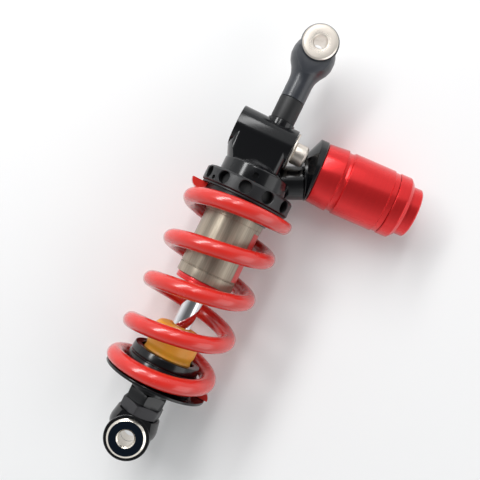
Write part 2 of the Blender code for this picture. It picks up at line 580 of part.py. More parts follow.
def make_compression_valve(body, knob_group, needle_group, finishes):
    """Valve cartridge in the right end of the barrel, with its needle and its knob. Z is outwards."""
    at_right = Matrix.Translation((BARREL_RIGHT, 0.0, HEAD_AXIS_Z)) @ TO_RIGHT
    flange_top = GAP + VALVE_FLANGE_HEIGHT
    seal_z = -6.0 * MM
    seal_half = 1.0 * MM
    seal_floor = VALVE_RADIUS - 1.2 * MM
    cartridge = [
        (NEEDLE_HOLE_RADIUS, -VALVE_DEPTH), (VALVE_RADIUS, -VALVE_DEPTH),
        (VALVE_RADIUS, seal_z - seal_half - GAP), (seal_floor, seal_z - seal_half - GAP),
        (seal_floor, seal_z + seal_half + GAP), (VALVE_RADIUS, seal_z + seal_half + GAP),
        (VALVE_RADIUS, GAP), (VALVE_FLANGE_RADIUS - 0.5 * MM, GAP), (VALVE_FLANGE_RADIUS, flange_top - 0.4 * MM),
        (VALVE_FLANGE_RADIUS, flange_top), (VALVE_STUB_RADIUS, flange_top),
        (VALVE_STUB_RADIUS, flange_top + VALVE_STUB_HEIGHT), (NEEDLE_HOLE_RADIUS, flange_top + VALVE_STUB_HEIGHT),
    ]
    add_object("compression_valve_body", turned(cartridge, MEDIUM), finishes["steel"], body, at_right)
    seal = ring(seal_floor + GAP, VALVE_BORE_RADIUS - SEAL_GAP, seal_z - seal_half, seal_z + seal_half)
    add_object("valve_o_ring", turned(seal, COARSE), finishes["rubber"], body, at_right)

    knob_start = flange_top + GAP
    knob_end = knob_start + KNOB_HEIGHT
    stub_room = flange_top + VALVE_STUB_HEIGHT + GAP
    needle_end = knob_end - 3.0 * MM
    knob = [
        (0.0, needle_end + 2.0 * MM), (NEEDLE_HOLE_RADIUS, needle_end + 2.0 * MM), (NEEDLE_HOLE_RADIUS, stub_room),
        (VALVE_STUB_RADIUS + RUNNING_GAP, stub_room), (VALVE_STUB_RADIUS + RUNNING_GAP, knob_start),
        (KNOB_RADIUS, knob_start), (KNOB_RADIUS, knob_end - KNOB_CHAMFER),
        (KNOB_RADIUS - KNOB_CHAMFER, knob_end), (0.0, knob_end),
    ]
    add_object("compression_knob", turned(knob, MEDIUM), finishes["bright_aluminium"], knob_group, TO_RIGHT)
    needle_tip = -VALVE_DEPTH + 3.0 * MM
    needle = [(0.0, needle_tip), (0.6 * MM, needle_tip), (NEEDLE_RADIUS, needle_tip + 4.0 * MM),
              (NEEDLE_RADIUS, needle_end), (0.0, needle_end)]
    add_object("compression_needle", turned(needle, COARSE), finishes["steel"], needle_group, TO_RIGHT)


# ================================================================ reservoir

def arm_length():
    """The arm stops just short of the lowest point of the reservoir's flange."""
    lowest = reservoir_place() @ Vector((RESERVOIR_RADIUS - FLANGE_INSET, 0.0, -FLANGE_BOTTOM_THICKNESS))
    return (lowest - ARM_START).dot(Vector((math.cos(ARM_SLOPE), 0.0, math.sin(ARM_SLOPE)))) - 2.0 * GAP


def arm_place():
    """Frame at the end of the arm: its Z runs along the arm, away from the neck."""
    return (Matrix.Translation(ARM_START) @ Matrix.Rotation(math.radians(90.0) - ARM_SLOPE, 4, "Y")
            @ Matrix.Translation((0.0, 0.0, arm_length())))


def wrapped(circles):
    """Convex body around circles, each with its frame, its place along it, its tilt and its radius."""
    bm = bmesh.new()
    for frame, along, tilt, radius in circles:
        for step in range(FINE):
            angle = math.tau * step / FINE
            bm.verts.new(frame @ Vector((radius * math.cos(angle), radius * math.sin(angle),
                                         along + tilt * math.cos(angle))))
    hull = bmesh.ops.convex_hull(bm, input=bm.verts)
    bmesh.ops.delete(bm, geom=hull["geom_interior"], context="VERTS")
    return bm


def make_elbow(body, finishes):
    """Cone from the round arm to the reservoir flange, with the spigot that the reservoir screws onto."""
    reservoir_frame = reservoir_place()
    arm_frame = arm_place()
    collar_frame = arm_frame @ Matrix.Translation((ARM_RADIUS - COLLAR_RADIUS, 0.0, 0.0))
    flange = RESERVOIR_RADIUS - FLANGE_INSET
    middle = (FLANGE_TOP_THICKNESS + FLANGE_BOTTOM_THICKNESS) / 2.0
    slant = (FLANGE_TOP_THICKNESS - FLANGE_BOTTOM_THICKNESS) / 2.0
    collar_end = GAP + (COLLAR_TOP_LENGTH + COLLAR_BOTTOM_LENGTH) / 2.0
    collar_tilt = (COLLAR_BOTTOM_LENGTH - COLLAR_TOP_LENGTH) / 2.0
    elbow = add_object("reservoir_elbow", wrapped([
        (collar_frame, collar_end, collar_tilt, COLLAR_RADIUS),
        (reservoir_frame, -middle, slant, flange),
        (reservoir_frame, -GAP - 0.6 * MM, 0.0, flange),
        (reservoir_frame, -GAP, 0.0, flange - 0.6 * MM),
    ]), finishes["black_anodised"], body)
    boolean(elbow, wrapped([
        (collar_frame, GAP, 0.0, COLLAR_RADIUS - 0.4 * MM),
        (collar_frame, GAP + 0.4 * MM, 0.0, COLLAR_RADIUS - 0.02 * MM),
        (collar_frame, collar_end + 0.7 * MM, collar_tilt, COLLAR_RADIUS - 0.02 * MM),
    ]), "UNION")
    knob_end = 2.0 * GAP + VALVE_FLANGE_HEIGHT + KNOB_HEIGHT + KNOB_RELIEF
    relief = cutter(disc(KNOB_RADIUS + KNOB_RELIEF, 0.0, knob_end), MEDIUM)
    boolean(elbow, relief, "DIFFERENCE", Matrix.Translation((BARREL_RIGHT, 0.0, HEAD_AXIS_Z)) @ TO_RIGHT)

    inner = RESERVOIR_INNER_RADIUS
    groove_floor = inner - 1.4 * MM
    spigot = turned([
        (0.0, -0.8 * MM), (inner, -0.8 * MM), (inner, 3.0 * MM), (groove_floor, 3.0 * MM),
        (groove_floor, 5.6 * MM), (inner, 5.6 * MM), (inner, SPIGOT_LENGTH), (0.0, SPIGOT_LENGTH),
    ], FINE)
    boolean(elbow, spigot, "UNION", reservoir_frame)
    start = arm_frame @ Vector((0.0, 0.0, -OVERSHOOT))
    along = reservoir_frame @ Vector((0.0, 0.0, SPIGOT_LENGTH + OVERSHOOT)) - start
    way_frame = Matrix.Translation(start) @ along.to_track_quat("Z", "Y").to_matrix().to_4x4()
    boolean(elbow, rods([(way_frame, 0.0, along.length)], OIL_WAY_RADIUS, COARSE), "DIFFERENCE")
    add_object("reservoir_o_ring", turned(ring(groove_floor + GAP, RESERVOIR_BORE_RADIUS - SEAL_GAP,
                                               3.0 * MM + GAP, 5.6 * MM - GAP), FINE),
               finishes["rubber"], body, reservoir_frame)


def reservoir_place():
    """Frame of the reservoir: its Z runs along the reservoir, away from the arm."""
    return Matrix.Translation(RESERVOIR_BASE) @ Matrix.Rotation(math.radians(90.0) - RESERVOIR_SLOPE, 4, "Y")


def make_reservoir(body, piston_group, finishes):
    """Red reservoir with two grooves, its end cap, floating piston and gas valve."""
    frame = reservoir_place()
    outer = RESERVOIR_RADIUS
    floor = outer - FIRST_GROOVE_DEPTH
    groove_end = FIRST_GROOVE + GROOVE_WIDTH
    end_groove = RESERVOIR_LENGTH - END_GROOVE_WIDTH
    tube = [
        (RESERVOIR_BORE_RADIUS, 0.0), (outer - BAND_START_INSET - 0.5 * MM, 0.0),
        (outer - BAND_START_INSET, 0.6 * MM), (outer + BAND_FLARE, FIRST_GROOVE - 0.6 * MM),
        (floor, FIRST_GROOVE), (floor, groove_end), (outer, groove_end + 0.6 * MM),
        (outer, end_groove - 0.6 * MM), (outer - END_GROOVE_DEPTH, end_groove),
        (outer - END_GROOVE_DEPTH, RESERVOIR_LENGTH), (RESERVOIR_BORE_RADIUS, RESERVOIR_LENGTH),
    ]
    add_object("reservoir_tube", turned(tube, FINE), finishes["red_anodised"], body, frame)

    start = RESERVOIR_LENGTH + GAP
    band_end = start + CAP_BAND
    step_start = band_end + CAP_CHAMFER
    step_end = step_start + CAP_STEP_HEIGHT
    inner = RESERVOIR_INNER_RADIUS
    groove_floor = inner - 1.4 * MM
    cap_outer = outer - 0.2 * MM
    cup_radius = inner - 3.5 * MM
    seal_start = start - 6.4 * MM
    seal_end = start - 3.8 * MM
    cap = [
        (0.0, start), (cup_radius, start), (cup_radius, start - 9.0 * MM), (inner, start - 9.0 * MM),
        (inner, seal_start), (groove_floor, seal_start), (groove_floor, seal_end), (inner, seal_end),
        (inner, start), (cap_outer - 0.5 * MM, start), (cap_outer, start + 0.5 * MM), (cap_outer, band_end),
        (CAP_STEP_RADIUS + 2.2 * MM, step_start), (CAP_STEP_RADIUS, step_start),
        (CAP_STEP_RADIUS, step_end - 1.0 * MM), (CAP_STEP_RADIUS - 1.0 * MM, step_end),
        (CAP_RECESS_RADIUS, step_end), (CAP_RECESS_RADIUS, step_start + 1.0 * MM), (0.0, step_start + 1.0 * MM),
    ]
    end_cap = add_object("reservoir_end_cap", turned(cap, FINE), finishes["red_anodised"], body, frame)
    hole = disc(GAS_VALVE_RADIUS + GAP, start - OVERSHOOT, step_start + 1.0 * MM + OVERSHOOT)
    boolean(end_cap, cutter(hole, COARSE), "DIFFERENCE")
    add_object("end_cap_o_ring", turned(ring(groove_floor + GAP, RESERVOIR_BORE_RADIUS - SEAL_GAP,
                                             seal_start + GAP, seal_end - GAP), FINE),
               finishes["rubber"], body, frame)

    valve_floor = step_start + 1.0 * MM
    valve_top = step_end - 2.0 * MM
    neck = GAS_VALVE_RADIUS - 0.8 * MM
    valve = [(0.9 * MM, start + 0.8 * MM), (GAS_VALVE_RADIUS, start + 0.8 * MM), (GAS_VALVE_RADIUS, valve_floor + GAP),
             (GAS_VALVE_RADIUS + 1.0 * MM, valve_floor + GAP), (GAS_VALVE_RADIUS + 1.0 * MM, valve_floor + 1.3 * MM),
             (neck, valve_floor + 1.3 * MM), (neck, valve_top - 1.5 * MM), (0.9 * MM, valve_top - 1.5 * MM)]
    add_object("gas_valve", turned(valve, COARSE), finishes["brass"], body, frame)
    valve_cap = [(0.0, valve_top - 1.5 * MM + GAP), (neck + GAP, valve_top - 1.5 * MM + GAP),
                 (neck + GAP, valve_floor + 2.0 * MM), (neck + 1.4 * MM, valve_floor + 2.0 * MM),
                 (neck + 1.4 * MM, valve_top), (neck, valve_top + 0.6 * MM), (0.0, valve_top + 0.6 * MM)]
    add_object("gas_valve_cap", turned(valve_cap, COARSE), finishes["rubber"], body, frame)

    low = 0.0
    high = FLOATING_PISTON_LENGTH
    seal_low = 5.2 * MM
    seal_high = 7.8 * MM
    cup = RESERVOIR_INNER_RADIUS - 3.0 * MM
    piston = [
        (0.0, low), (inner, low), (inner, seal_low), (groove_floor, seal_low), (groove_floor, seal_high),
        (inner, seal_high), (inner, high), (cup, high), (cup, low + 3.5 * MM), (0.0, low + 3.5 * MM),
    ]
    add_object("floating_piston", turned(piston, FINE), finishes["bright_aluminium"], piston_group)
    add_object("floating_piston_seal", turned(ring(groove_floor + GAP, RESERVOIR_BORE_RADIUS - SEAL_GAP,
                                                   seal_low + GAP, seal_high - GAP), FINE),
               finishes["rubber"], piston_group)


# ================================================================ damper tube and what is in its end

def make_damper_tube(body, finishes):
    """Hard anodised tube with a collar at the top and a groove near its lower end."""
    groove_end = TUBE_END_Z + TUBE_GROOVE_UP
    groove_top = groove_end + TUBE_GROOVE_WIDTH
    collar_z = TUBE_TOP_Z - TUBE_COLLAR_LENGTH
    groove_floor = TUBE_RADIUS - TUBE_GROOVE_DEPTH
    seal_z = TUBE_TOP_Z - 4.0 * MM
    seal_floor = TUBE_COLLAR_RADIUS - 1.4 * MM
    seal_height = 2.4 * MM
    outline = [
        (TUBE_BORE_RADIUS, TUBE_TOP_Z), (TUBE_COLLAR_RADIUS, TUBE_TOP_Z), (TUBE_COLLAR_RADIUS, seal_z),
        (seal_floor, seal_z), (seal_floor, seal_z - seal_height), (TUBE_COLLAR_RADIUS, seal_z - seal_height),
        (TUBE_COLLAR_RADIUS, collar_z), (TUBE_RADIUS, collar_z), (TUBE_RADIUS, groove_top),
        (groove_floor, groove_top), (groove_floor, groove_end), (TUBE_RADIUS, groove_end),
        (TUBE_RADIUS, TUBE_END_Z), (TUBE_BORE_RADIUS, TUBE_END_Z),
    ]
    add_object("damper_tube", turned(outline, FINE), finishes["hard_anodised"], body)
    seal = ring(seal_floor + GAP, TUBE_SEAT_RADIUS - SEAL_GAP, seal_z - seal_height + GAP, seal_z - GAP)
    add_object("tube_o_ring", turned(seal, FINE), finishes["rubber"], body)


def make_tube_end(body, finishes):
    """Seal head with its bushing, seals and top-out bumper, and the red cap with the wiper."""
    hole = SHAFT_HOLE_RADIUS
    top, end = SEAL_HEAD_TOP_Z, SEAL_HEAD_END_Z
    bushing_radius = SHAFT_RADIUS + 2.2 * MM
    seal_radius = SHAFT_RADIUS + 4.2 * MM
    bushing_end = top - 8.0 * MM
    seal_top = bushing_end - 1.2 * MM
    groove = (top - 3.0 * MM, top - 5.6 * MM)
    groove_floor = INNER_RADIUS - 1.4 * MM
    seal_head = [
        (bushing_radius + GAP, top), (INNER_RADIUS, top), (INNER_RADIUS, groove[0]), (groove_floor, groove[0]),
        (groove_floor, groove[1]), (INNER_RADIUS, groove[1]), (INNER_RADIUS, end), (seal_radius + GAP, end),
        (seal_radius + GAP, seal_top), (hole, seal_top), (hole, bushing_end), (bushing_radius + GAP, bushing_end),
    ]
    add_object("seal_head", turned(seal_head, FINE), finishes["bright_aluminium"], body)
    add_object("seal_head_o_ring", turned(ring(groove_floor + GAP, TUBE_BORE_RADIUS - SEAL_GAP,
                                               groove[1] + GAP, groove[0] - GAP), FINE),
               finishes["rubber"], body)
    add_object("rod_bushing", turned(ring(hole, bushing_radius, bushing_end + GAP, top - 0.2 * MM), MEDIUM),
               finishes["brass"], body)
    add_object("rod_seal", turned(ring(hole, seal_radius, end + GAP, seal_top - GAP), MEDIUM),
               finishes["rubber"], body)
    bumper_radius = TUBE_BORE_RADIUS - 4.0 * MM
    bumper = [(hole, top + GAP), (bumper_radius, top + GAP), (bumper_radius - 1.0 * MM, TOP_OUT_TOP_Z),
              (hole, TOP_OUT_TOP_Z)]
    add_object("top_out_bumper", turned(bumper, MEDIUM), finishes["rubber"], body)

    cap_radius = TUBE_RADIUS - END_CAP_INSET
    cap_top = TUBE_END_Z - GAP
    wiper_radius = SHAFT_RADIUS + 3.0 * MM
    wiper_top = cap_top - 1.0 * MM
    line_top = cap_top - 1.9 * MM
    line_end = line_top - 0.6 * MM
    line_floor = cap_radius - 0.5 * MM
    end_cap = [
        (hole, cap_top), (cap_radius, cap_top), (cap_radius, line_top), (line_floor, line_top),
        (line_floor, line_end), (cap_radius, line_end), (cap_radius, CAP_END_Z + 0.4 * MM),
        (cap_radius - 0.4 * MM, CAP_END_Z), (wiper_radius + GAP, CAP_END_Z), (wiper_radius + GAP, wiper_top),
        (hole, wiper_top),
    ]
    add_object("tube_end_cap", turned(end_cap, FINE), finishes["red_anodised"], body)
    wiper = [(hole, wiper_top - GAP), (wiper_radius, wiper_top - GAP), (wiper_radius, CAP_END_Z),
             (hole + 0.8 * MM, CAP_END_Z - 1.0 * MM), (hole, CAP_END_Z - 1.0 * MM)]
    add_object("wiper_seal", turned(wiper, MEDIUM), finishes["rubber"], body)


# ================================================================ shaft and piston

def make_shaft(rod, needle_group, finishes):
    """Chrome shaft, drilled through for the rebound needle, with the piston assembly on its stud."""
    shaft = [
        (NEEDLE_HOLE_RADIUS, SHAFT_END_Z), (SHAFT_RADIUS, SHAFT_END_Z), (SHAFT_RADIUS, SHAFT_SHOULDER_Z),
        (PISTON_STUD_RADIUS, SHAFT_SHOULDER_Z), (PISTON_STUD_RADIUS, NUT_TOP_Z + 1.5 * MM),
        (NEEDLE_HOLE_RADIUS, NUT_TOP_Z + 1.5 * MM),
    ]
    add_object("shaft", turned(shaft, MEDIUM), finishes["chrome"], rod)
    needle_top = PISTON_END_Z + 3.0 * MM
    foot = SHAFT_END_Z + 0.5 * MM
    needle = [(0.0, foot), (NEEDLE_RADIUS, foot), (NEEDLE_RADIUS, needle_top - 8.0 * MM),
              (0.6 * MM, needle_top), (0.0, needle_top)]
    add_object("rebound_needle", turned(needle, COARSE), finishes["steel"], needle_group)


def make_piston(rod, finishes):
    """Piston with its band, oil ports, shim stacks and nut."""
    hole = PISTON_STUD_RADIUS + GAP
    band_half = 3.0 * MM
    middle = (PISTON_TOP_Z + PISTON_END_Z) / 2.0
    floor = INNER_RADIUS - 1.5 * MM
    outline = [
        (hole, PISTON_END_Z), (INNER_RADIUS, PISTON_END_Z), (INNER_RADIUS, middle - band_half),
        (floor, middle - band_half), (floor, middle + band_half), (INNER_RADIUS, middle + band_half),
        (INNER_RADIUS, PISTON_TOP_Z), (hole, PISTON_TOP_Z),
    ]
    piston = add_object("piston", turned(outline, FINE), finishes["bright_aluminium"], rod)
    port_circle = (hole + floor) / 2.0
    ports = []
    for number in range(6):
        place = Matrix.Rotation(math.tau * number / 6.0, 4, "Z") @ Matrix.Translation((port_circle, 0.0, 0.0))
        ports.append((place, PISTON_END_Z - OVERSHOOT, PISTON_TOP_Z + OVERSHOOT))
    boolean(piston, rods(ports, 1.8 * MM, 8), "DIFFERENCE")
    add_object("piston_band", turned(ring(floor + GAP, TUBE_BORE_RADIUS - SEAL_GAP, middle - band_half + GAP,
                                          middle + band_half - GAP), FINE),
               finishes["brass"], rod)
    wide = port_circle + 2.4 * MM
    narrow = hole + 2.0 * MM
    below = PISTON_END_Z - GAP
    above = PISTON_TOP_Z + GAP
    for name, near, far in (("compression_shims", below, below - SHIM_STACK_HEIGHT),
                            ("rebound_shims", above, above + SHIM_STACK_HEIGHT)):
        half = (near + far) / 2.0
        stack = [(hole, near), (wide, near), (wide, half), (narrow, half), (narrow, far), (hole, far)]
        add_object(name, turned(stack, COARSE), finishes["steel"], rod)
    nut = add_object("piston_nut", turned(disc(hex_radius(PISTON_NUT_FLATS), NUT_END_Z, NUT_TOP_Z), 6),
                     finishes["steel"], rod)
    boolean(nut, cutter(disc(hole, NUT_END_Z - OVERSHOOT, NUT_TOP_Z + OVERSHOOT), COARSE), "DIFFERENCE")


# ================================================================ spring, its seats and its stops

def coil_height(turn):
    """Height of the wire centre after a number of turns from the top tip."""

    def closed_drop(turns):
        """Drop of a closed end, as a share of turns, measured from its tip."""
        steps = 40
        total = 0.0
        for step in range(steps):
            at = turns * (step + 0.5) / steps
            share = min(max((at - CLOSED_TURNS + CLOSED_BLEND / 2.0) / CLOSED_BLEND, 0.0), 1.0)
            total += share * share * (3.0 - 2.0 * share)
        return total * turns / steps

    half = COIL_TURNS / 2.0
    top = SPRING_TOP_Z - TIP_GRIND
    end = SPRING_END_Z + TIP_GRIND
    open_pitch = CLOSED_PITCH + ((top - end) / 2.0 - CLOSED_PITCH * half) / closed_drop(half)
    from_tip = turn if turn <= half else COIL_TURNS - turn
    drop = CLOSED_PITCH * from_tip + (open_pitch - CLOSED_PITCH) * closed_drop(from_tip)
    return top - drop if turn <= half else end + drop


def make_spring(seat_group, finishes):
    """Right-hand coil of round wire with closed ends, ground flat on both seats."""
    bm = bmesh.new()
    count = round(COIL_TURNS * SECTIONS_PER_TURN)
    loops = []
    for section in range(count + 1):
        turn = COIL_TURNS * section / count
        angle = COIL_START - math.tau * turn
        out = Vector((math.cos(angle), math.sin(angle), 0.0))
        centre = out * COIL_RADIUS + Vector((0.0, 0.0, coil_height(turn)))
        loop = []
        for side in range(WIRE_SIDES):
            lean = math.tau * (side + 0.5) / WIRE_SIDES
            point = centre + WIRE_RADIUS * (out * math.cos(lean) + Vector((0.0, 0.0, math.sin(lean))))
            point.z = min(max(point.z, SPRING_END_Z), SPRING_TOP_Z)
            loop.append(bm.verts.new(point))
        loops.append(loop)
    for first, second in zip(loops, loops[1:]):
        for side in range(WIRE_SIDES):
            after = (side + 1) % WIRE_SIDES
            bm.faces.new((first[side], first[after], second[after], second[side]))
    bm.faces.new(loops[0])
    bm.faces.new(loops[-1])
    bmesh.ops.triangulate(bm, faces=bm.faces)
    add_object("coil_spring", bm, finishes["red_powder_coat"], seat_group)


def make_preload_ring(seat_group, ring_group, finishes):
    """Ring with spanner holes and its lock screw, and the seat that it pushes down."""
    low, top = RING_END_Z, RING_TOP_Z
    chamfer = RING_CHAMFER
    outline = [
        (RING_BORE_RADIUS, low), (RING_RADIUS - 0.8 * MM, low), (RING_RADIUS, low + 0.8 * MM),
        (RING_RADIUS, top - chamfer), (RING_RADIUS - chamfer, top), (RING_BORE_RADIUS, top),
    ]
    preload_ring = add_object("preload_ring", turned(outline, 2 * MEDIUM), finishes["charcoal_anodised"],
                              ring_group)
    middle = (low + top) / 2.0
    holes = []
    for number in range(RING_HOLES):
        frame = radial_frame(RING_HOLE_START + math.tau * number / RING_HOLES, middle)
        holes.append((frame, RING_RADIUS - RING_HOLE_DEPTH, RING_RADIUS + OVERSHOOT))
    boolean(preload_ring, rods(holes, RING_HOLE_RADIUS, 12), "DIFFERENCE")
    screw_frame = radial_frame(RING_HOLE_START - math.radians(45.0), middle - 2.8 * MM)
    screw_hole = rods([(screw_frame, RING_BORE_RADIUS - OVERSHOOT, RING_RADIUS + OVERSHOOT)],
                      LOCK_SCREW_RADIUS + GAP, 10)
    boolean(preload_ring, screw_hole, "DIFFERENCE")
    screw = rods([(screw_frame, RING_BORE_RADIUS + GAP, RING_RADIUS - 2.2 * MM)], LOCK_SCREW_RADIUS, 10)
    add_object("preload_lock_screw", screw, finishes["steel"], ring_group)

    flange_radius = COIL_RADIUS - 2.0 * MM
    seat_end = SEAT_TOP_Z - SEAT_THICKNESS
    boss_end = seat_end - SEAT_BOSS_HEIGHT
    seat = [
        (RING_BORE_RADIUS, boss_end), (SEAT_BOSS_RADIUS - 1.2 * MM, boss_end),
        (SEAT_BOSS_RADIUS, boss_end + 1.2 * MM), (SEAT_BOSS_RADIUS, seat_end), (flange_radius, seat_end),
        (flange_radius, SEAT_TOP_Z), (RING_BORE_RADIUS, SEAT_TOP_Z),
    ]
    add_object("upper_spring_seat", turned(seat, FINE), finishes["black_anodised"], seat_group)


def make_perch(rod, finishes):
    """Lower perch: a thin flange, a tapered boss inside the coil and a pocket for the bump stop."""
    face = PERCH_FACE_Z
    boss_top = face + PERCH_BOSS_HEIGHT
    pocket = BUMP_RADIUS + 1.5 * MM
    under = face - PERCH_THICKNESS
    hub_step = EYE_NECK_TOP_Z + GAP
    outline = [
        (SHAFT_HOLE_RADIUS, BUMP_FLOOR_Z), (pocket, BUMP_FLOOR_Z), (pocket, boss_top - 0.6 * MM),
        (pocket + 0.6 * MM, boss_top), (SEAT_BOSS_RADIUS - PERCH_BOSS_TAPER, boss_top),
        (SEAT_BOSS_RADIUS, face + 4.0 * MM), (SEAT_BOSS_RADIUS, face), (PERCH_RADIUS, face),
        (PERCH_RADIUS, under), (PERCH_HUB_RADIUS, under), (PERCH_HUB_RADIUS, HUB_END_Z),
        (NECK_HOLE_RADIUS, HUB_END_Z), (NECK_HOLE_RADIUS, hub_step), (SHAFT_HOLE_RADIUS, hub_step),
    ]
    add_object("lower_perch", turned(outline, FINE), finishes["black_anodised"], rod)


def make_bump_stop(rod, finishes):
    """Urethane dome that slides over the shaft and sits in the perch."""
    hole = SHAFT_HOLE_RADIUS
    low, top = BUMP_FLOOR_Z + GAP, BUMP_TOP_Z
    outline = [(hole, low), (BUMP_RADIUS - 1.0 * MM, low), (BUMP_RADIUS, low + 2.0 * MM)]
    crown = 5.6 * MM
    flat_radius = hole + 2.0 * MM
    for step in range(6):
        angle = math.radians(90.0) * step / 5.0
        outline.append((flat_radius + (BUMP_RADIUS - flat_radius) * math.cos(angle),
                        top - crown + crown * math.sin(angle)))
    outline.append((hole, top))
    add_object("bump_stop", turned(outline, FINE), finishes["urethane"], rod)


def make_lower_nuts(rod, adjuster, finishes):
    """Black hexagon nut under the perch, and the hexagon rebound adjuster ring below it."""
    for name, flats, low, high, turn, parent, finish_name in (
            ("perch_hex_nut", HEX_FLATS, HEX_END_Z, HEX_TOP_Z, HEX_TURN, rod, "black_anodised"),
            ("rebound_ring", ADJUSTER_FLATS, ADJUSTER_END_Z, ADJUSTER_TOP_Z, ADJUSTER_TURN, adjuster,
             "charcoal_anodised")):
        radius = hex_radius(flats)
        chamfer = 0.7 * MM
        hexagon = turned([(0.0, low), (radius - chamfer, low), (radius, low + chamfer), (radius, high - chamfer),
                          (radius - chamfer, high), (0.0, high)], 6)
        corner = Matrix.Rotation(math.radians(-90.0) + turn, 4, "Z")
        nut = add_object(name, hexagon, finishes[finish_name], parent, corner)
        hole = disc(NECK_HOLE_RADIUS, low - OVERSHOOT, high + OVERSHOOT)
        boolean(nut, cutter(hole, MEDIUM), "DIFFERENCE")


# ================================================================ the assembly

def main():
    for old in list(bpy.data.objects):
        bpy.data.objects.remove(old, do_unlink=True)
    finishes = make_finishes()

    damper_body = group("damper_body_frame")
    rod = group("damper_rod_frame")
    spring_seat = group("spring_seat_frame")
    ring_group = group("preload_ring_frame")
    adjuster = group("rebound_adjuster_frame")
    rebound_needle = group("rebound_needle_frame")
    upper_swivel = group("upper_swivel_frame", Matrix.Translation((0.0, 0.0, UPPER.height)))
    lower_swivel = group("lower_swivel_frame", Matrix.Translation((0.0, 0.0, LOWER.height)))
    valve_place = Matrix.Translation((BARREL_RIGHT, 0.0, HEAD_AXIS_Z))
    knob = group("compression_knob_frame", valve_place)
    valve_needle = group("compression_needle_frame", valve_place)
    floating = group("floating_piston_frame",
                     reservoir_place() @ Matrix.Translation((0.0, 0.0, FLOATING_PISTON_START)))

    make_upper_eye(damper_body, finishes)
    make_bearing(UPPER, upper_swivel, damper_body, finishes)
    make_head(damper_body, finishes)
    make_end_plug(damper_body, finishes)
    make_compression_valve(damper_body, knob, valve_needle, finishes)
    make_elbow(damper_body, finishes)
    make_reservoir(damper_body, floating, finishes)
    make_damper_tube(damper_body, finishes)
    make_tube_end(damper_body, finishes)
    make_shaft(rod, rebound_needle, finishes)
    make_piston(rod, finishes)
    make_preload_ring(spring_seat, ring_group, finishes)
    make_spring(rod, finishes)
    make_bump_stop(rod, finishes)
    make_perch(rod, finishes)
    make_lower_nuts(rod, adjuster, finishes)
    make_lower_eye(rod, finishes)
    make_bearing(LOWER, lower_swivel, rod, finishes)


main()
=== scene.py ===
"""Motorcycle rear shock absorber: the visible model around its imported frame, with its stage."""

import math

import bmesh
import bpy
import numpy as np
from bpy.props import FloatProperty, FloatVectorProperty, IntProperty, PointerProperty
from mathutils import Matrix, Vector


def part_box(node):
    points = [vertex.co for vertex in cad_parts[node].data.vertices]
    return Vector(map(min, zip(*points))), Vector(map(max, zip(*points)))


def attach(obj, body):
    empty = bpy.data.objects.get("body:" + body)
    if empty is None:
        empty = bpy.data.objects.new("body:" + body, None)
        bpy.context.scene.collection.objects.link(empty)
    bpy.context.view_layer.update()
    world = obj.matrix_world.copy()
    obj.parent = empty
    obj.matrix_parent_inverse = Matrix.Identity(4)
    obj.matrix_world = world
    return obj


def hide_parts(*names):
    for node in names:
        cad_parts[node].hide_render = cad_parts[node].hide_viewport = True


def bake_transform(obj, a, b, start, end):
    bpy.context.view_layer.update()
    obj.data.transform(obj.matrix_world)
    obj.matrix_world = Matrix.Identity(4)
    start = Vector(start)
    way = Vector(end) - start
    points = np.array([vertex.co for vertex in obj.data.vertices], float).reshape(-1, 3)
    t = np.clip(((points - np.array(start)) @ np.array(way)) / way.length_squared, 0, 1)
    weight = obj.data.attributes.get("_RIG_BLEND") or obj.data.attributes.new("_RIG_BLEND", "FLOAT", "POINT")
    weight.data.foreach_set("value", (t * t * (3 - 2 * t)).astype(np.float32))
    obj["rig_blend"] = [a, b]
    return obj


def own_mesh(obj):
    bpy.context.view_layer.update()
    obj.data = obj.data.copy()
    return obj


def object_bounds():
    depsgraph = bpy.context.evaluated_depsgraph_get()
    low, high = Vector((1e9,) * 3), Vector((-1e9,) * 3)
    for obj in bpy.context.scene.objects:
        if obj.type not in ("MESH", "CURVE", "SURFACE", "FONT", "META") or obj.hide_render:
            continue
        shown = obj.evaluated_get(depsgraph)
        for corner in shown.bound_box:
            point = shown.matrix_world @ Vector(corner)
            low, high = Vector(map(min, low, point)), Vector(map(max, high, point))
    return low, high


bl_info = {
    "name": "Rear Shock Absorber",
    "version": (1, 0, 0),
    "blender": (4, 5, 0),
    "location": "View3D > Sidebar > Shock",
    "description": "Builds a coil-over rear shock absorber with a piggyback reservoir",
    "category": "Add Mesh",
}

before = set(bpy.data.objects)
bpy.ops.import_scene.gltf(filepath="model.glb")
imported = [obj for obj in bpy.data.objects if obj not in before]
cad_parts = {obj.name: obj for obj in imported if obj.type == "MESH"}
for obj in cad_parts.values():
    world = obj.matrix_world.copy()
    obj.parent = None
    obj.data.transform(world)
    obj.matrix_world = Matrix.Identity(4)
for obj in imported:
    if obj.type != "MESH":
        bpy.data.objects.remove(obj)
CAD_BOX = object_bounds()

MM = 0.001
GAP = 0.3 * MM             # left between two faces that touch on the real object
PAST = 2.0 * MM            # how far a cutter runs past the face that it opens
COLLAR_RISE = 0.4 * MM     # of the damper tube's collar over the tube
ELBOW_STEP = 0.4 * MM      # of the elbow's flange inside the reservoir's band
SIDES = 96                 # sides of a turned piece
SMALL_SIDES = 48
SHARP = math.radians(28.0)

# quarter turns that take local +Z to the front, the back, the right and the left
TO_FRONT = Matrix(((1, 0, 0, 0), (0, 0, -1, 0), (0, 1, 0, 0), (0, 0, 0, 1)))
TO_BACK = Matrix(((1, 0, 0, 0), (0, 0, 1, 0), (0, -1, 0, 0), (0, 0, 0, 1)))
TO_RIGHT = Matrix(((0, 0, 1, 0), (0, 1, 0, 0), (-1, 0, 0, 0), (0, 0, 0, 1)))
TO_LEFT = Matrix(((0, 0, -1, 0), (0, 1, 0, 0), (1, 0, 0, 0), (0, 0, 0, 1)))


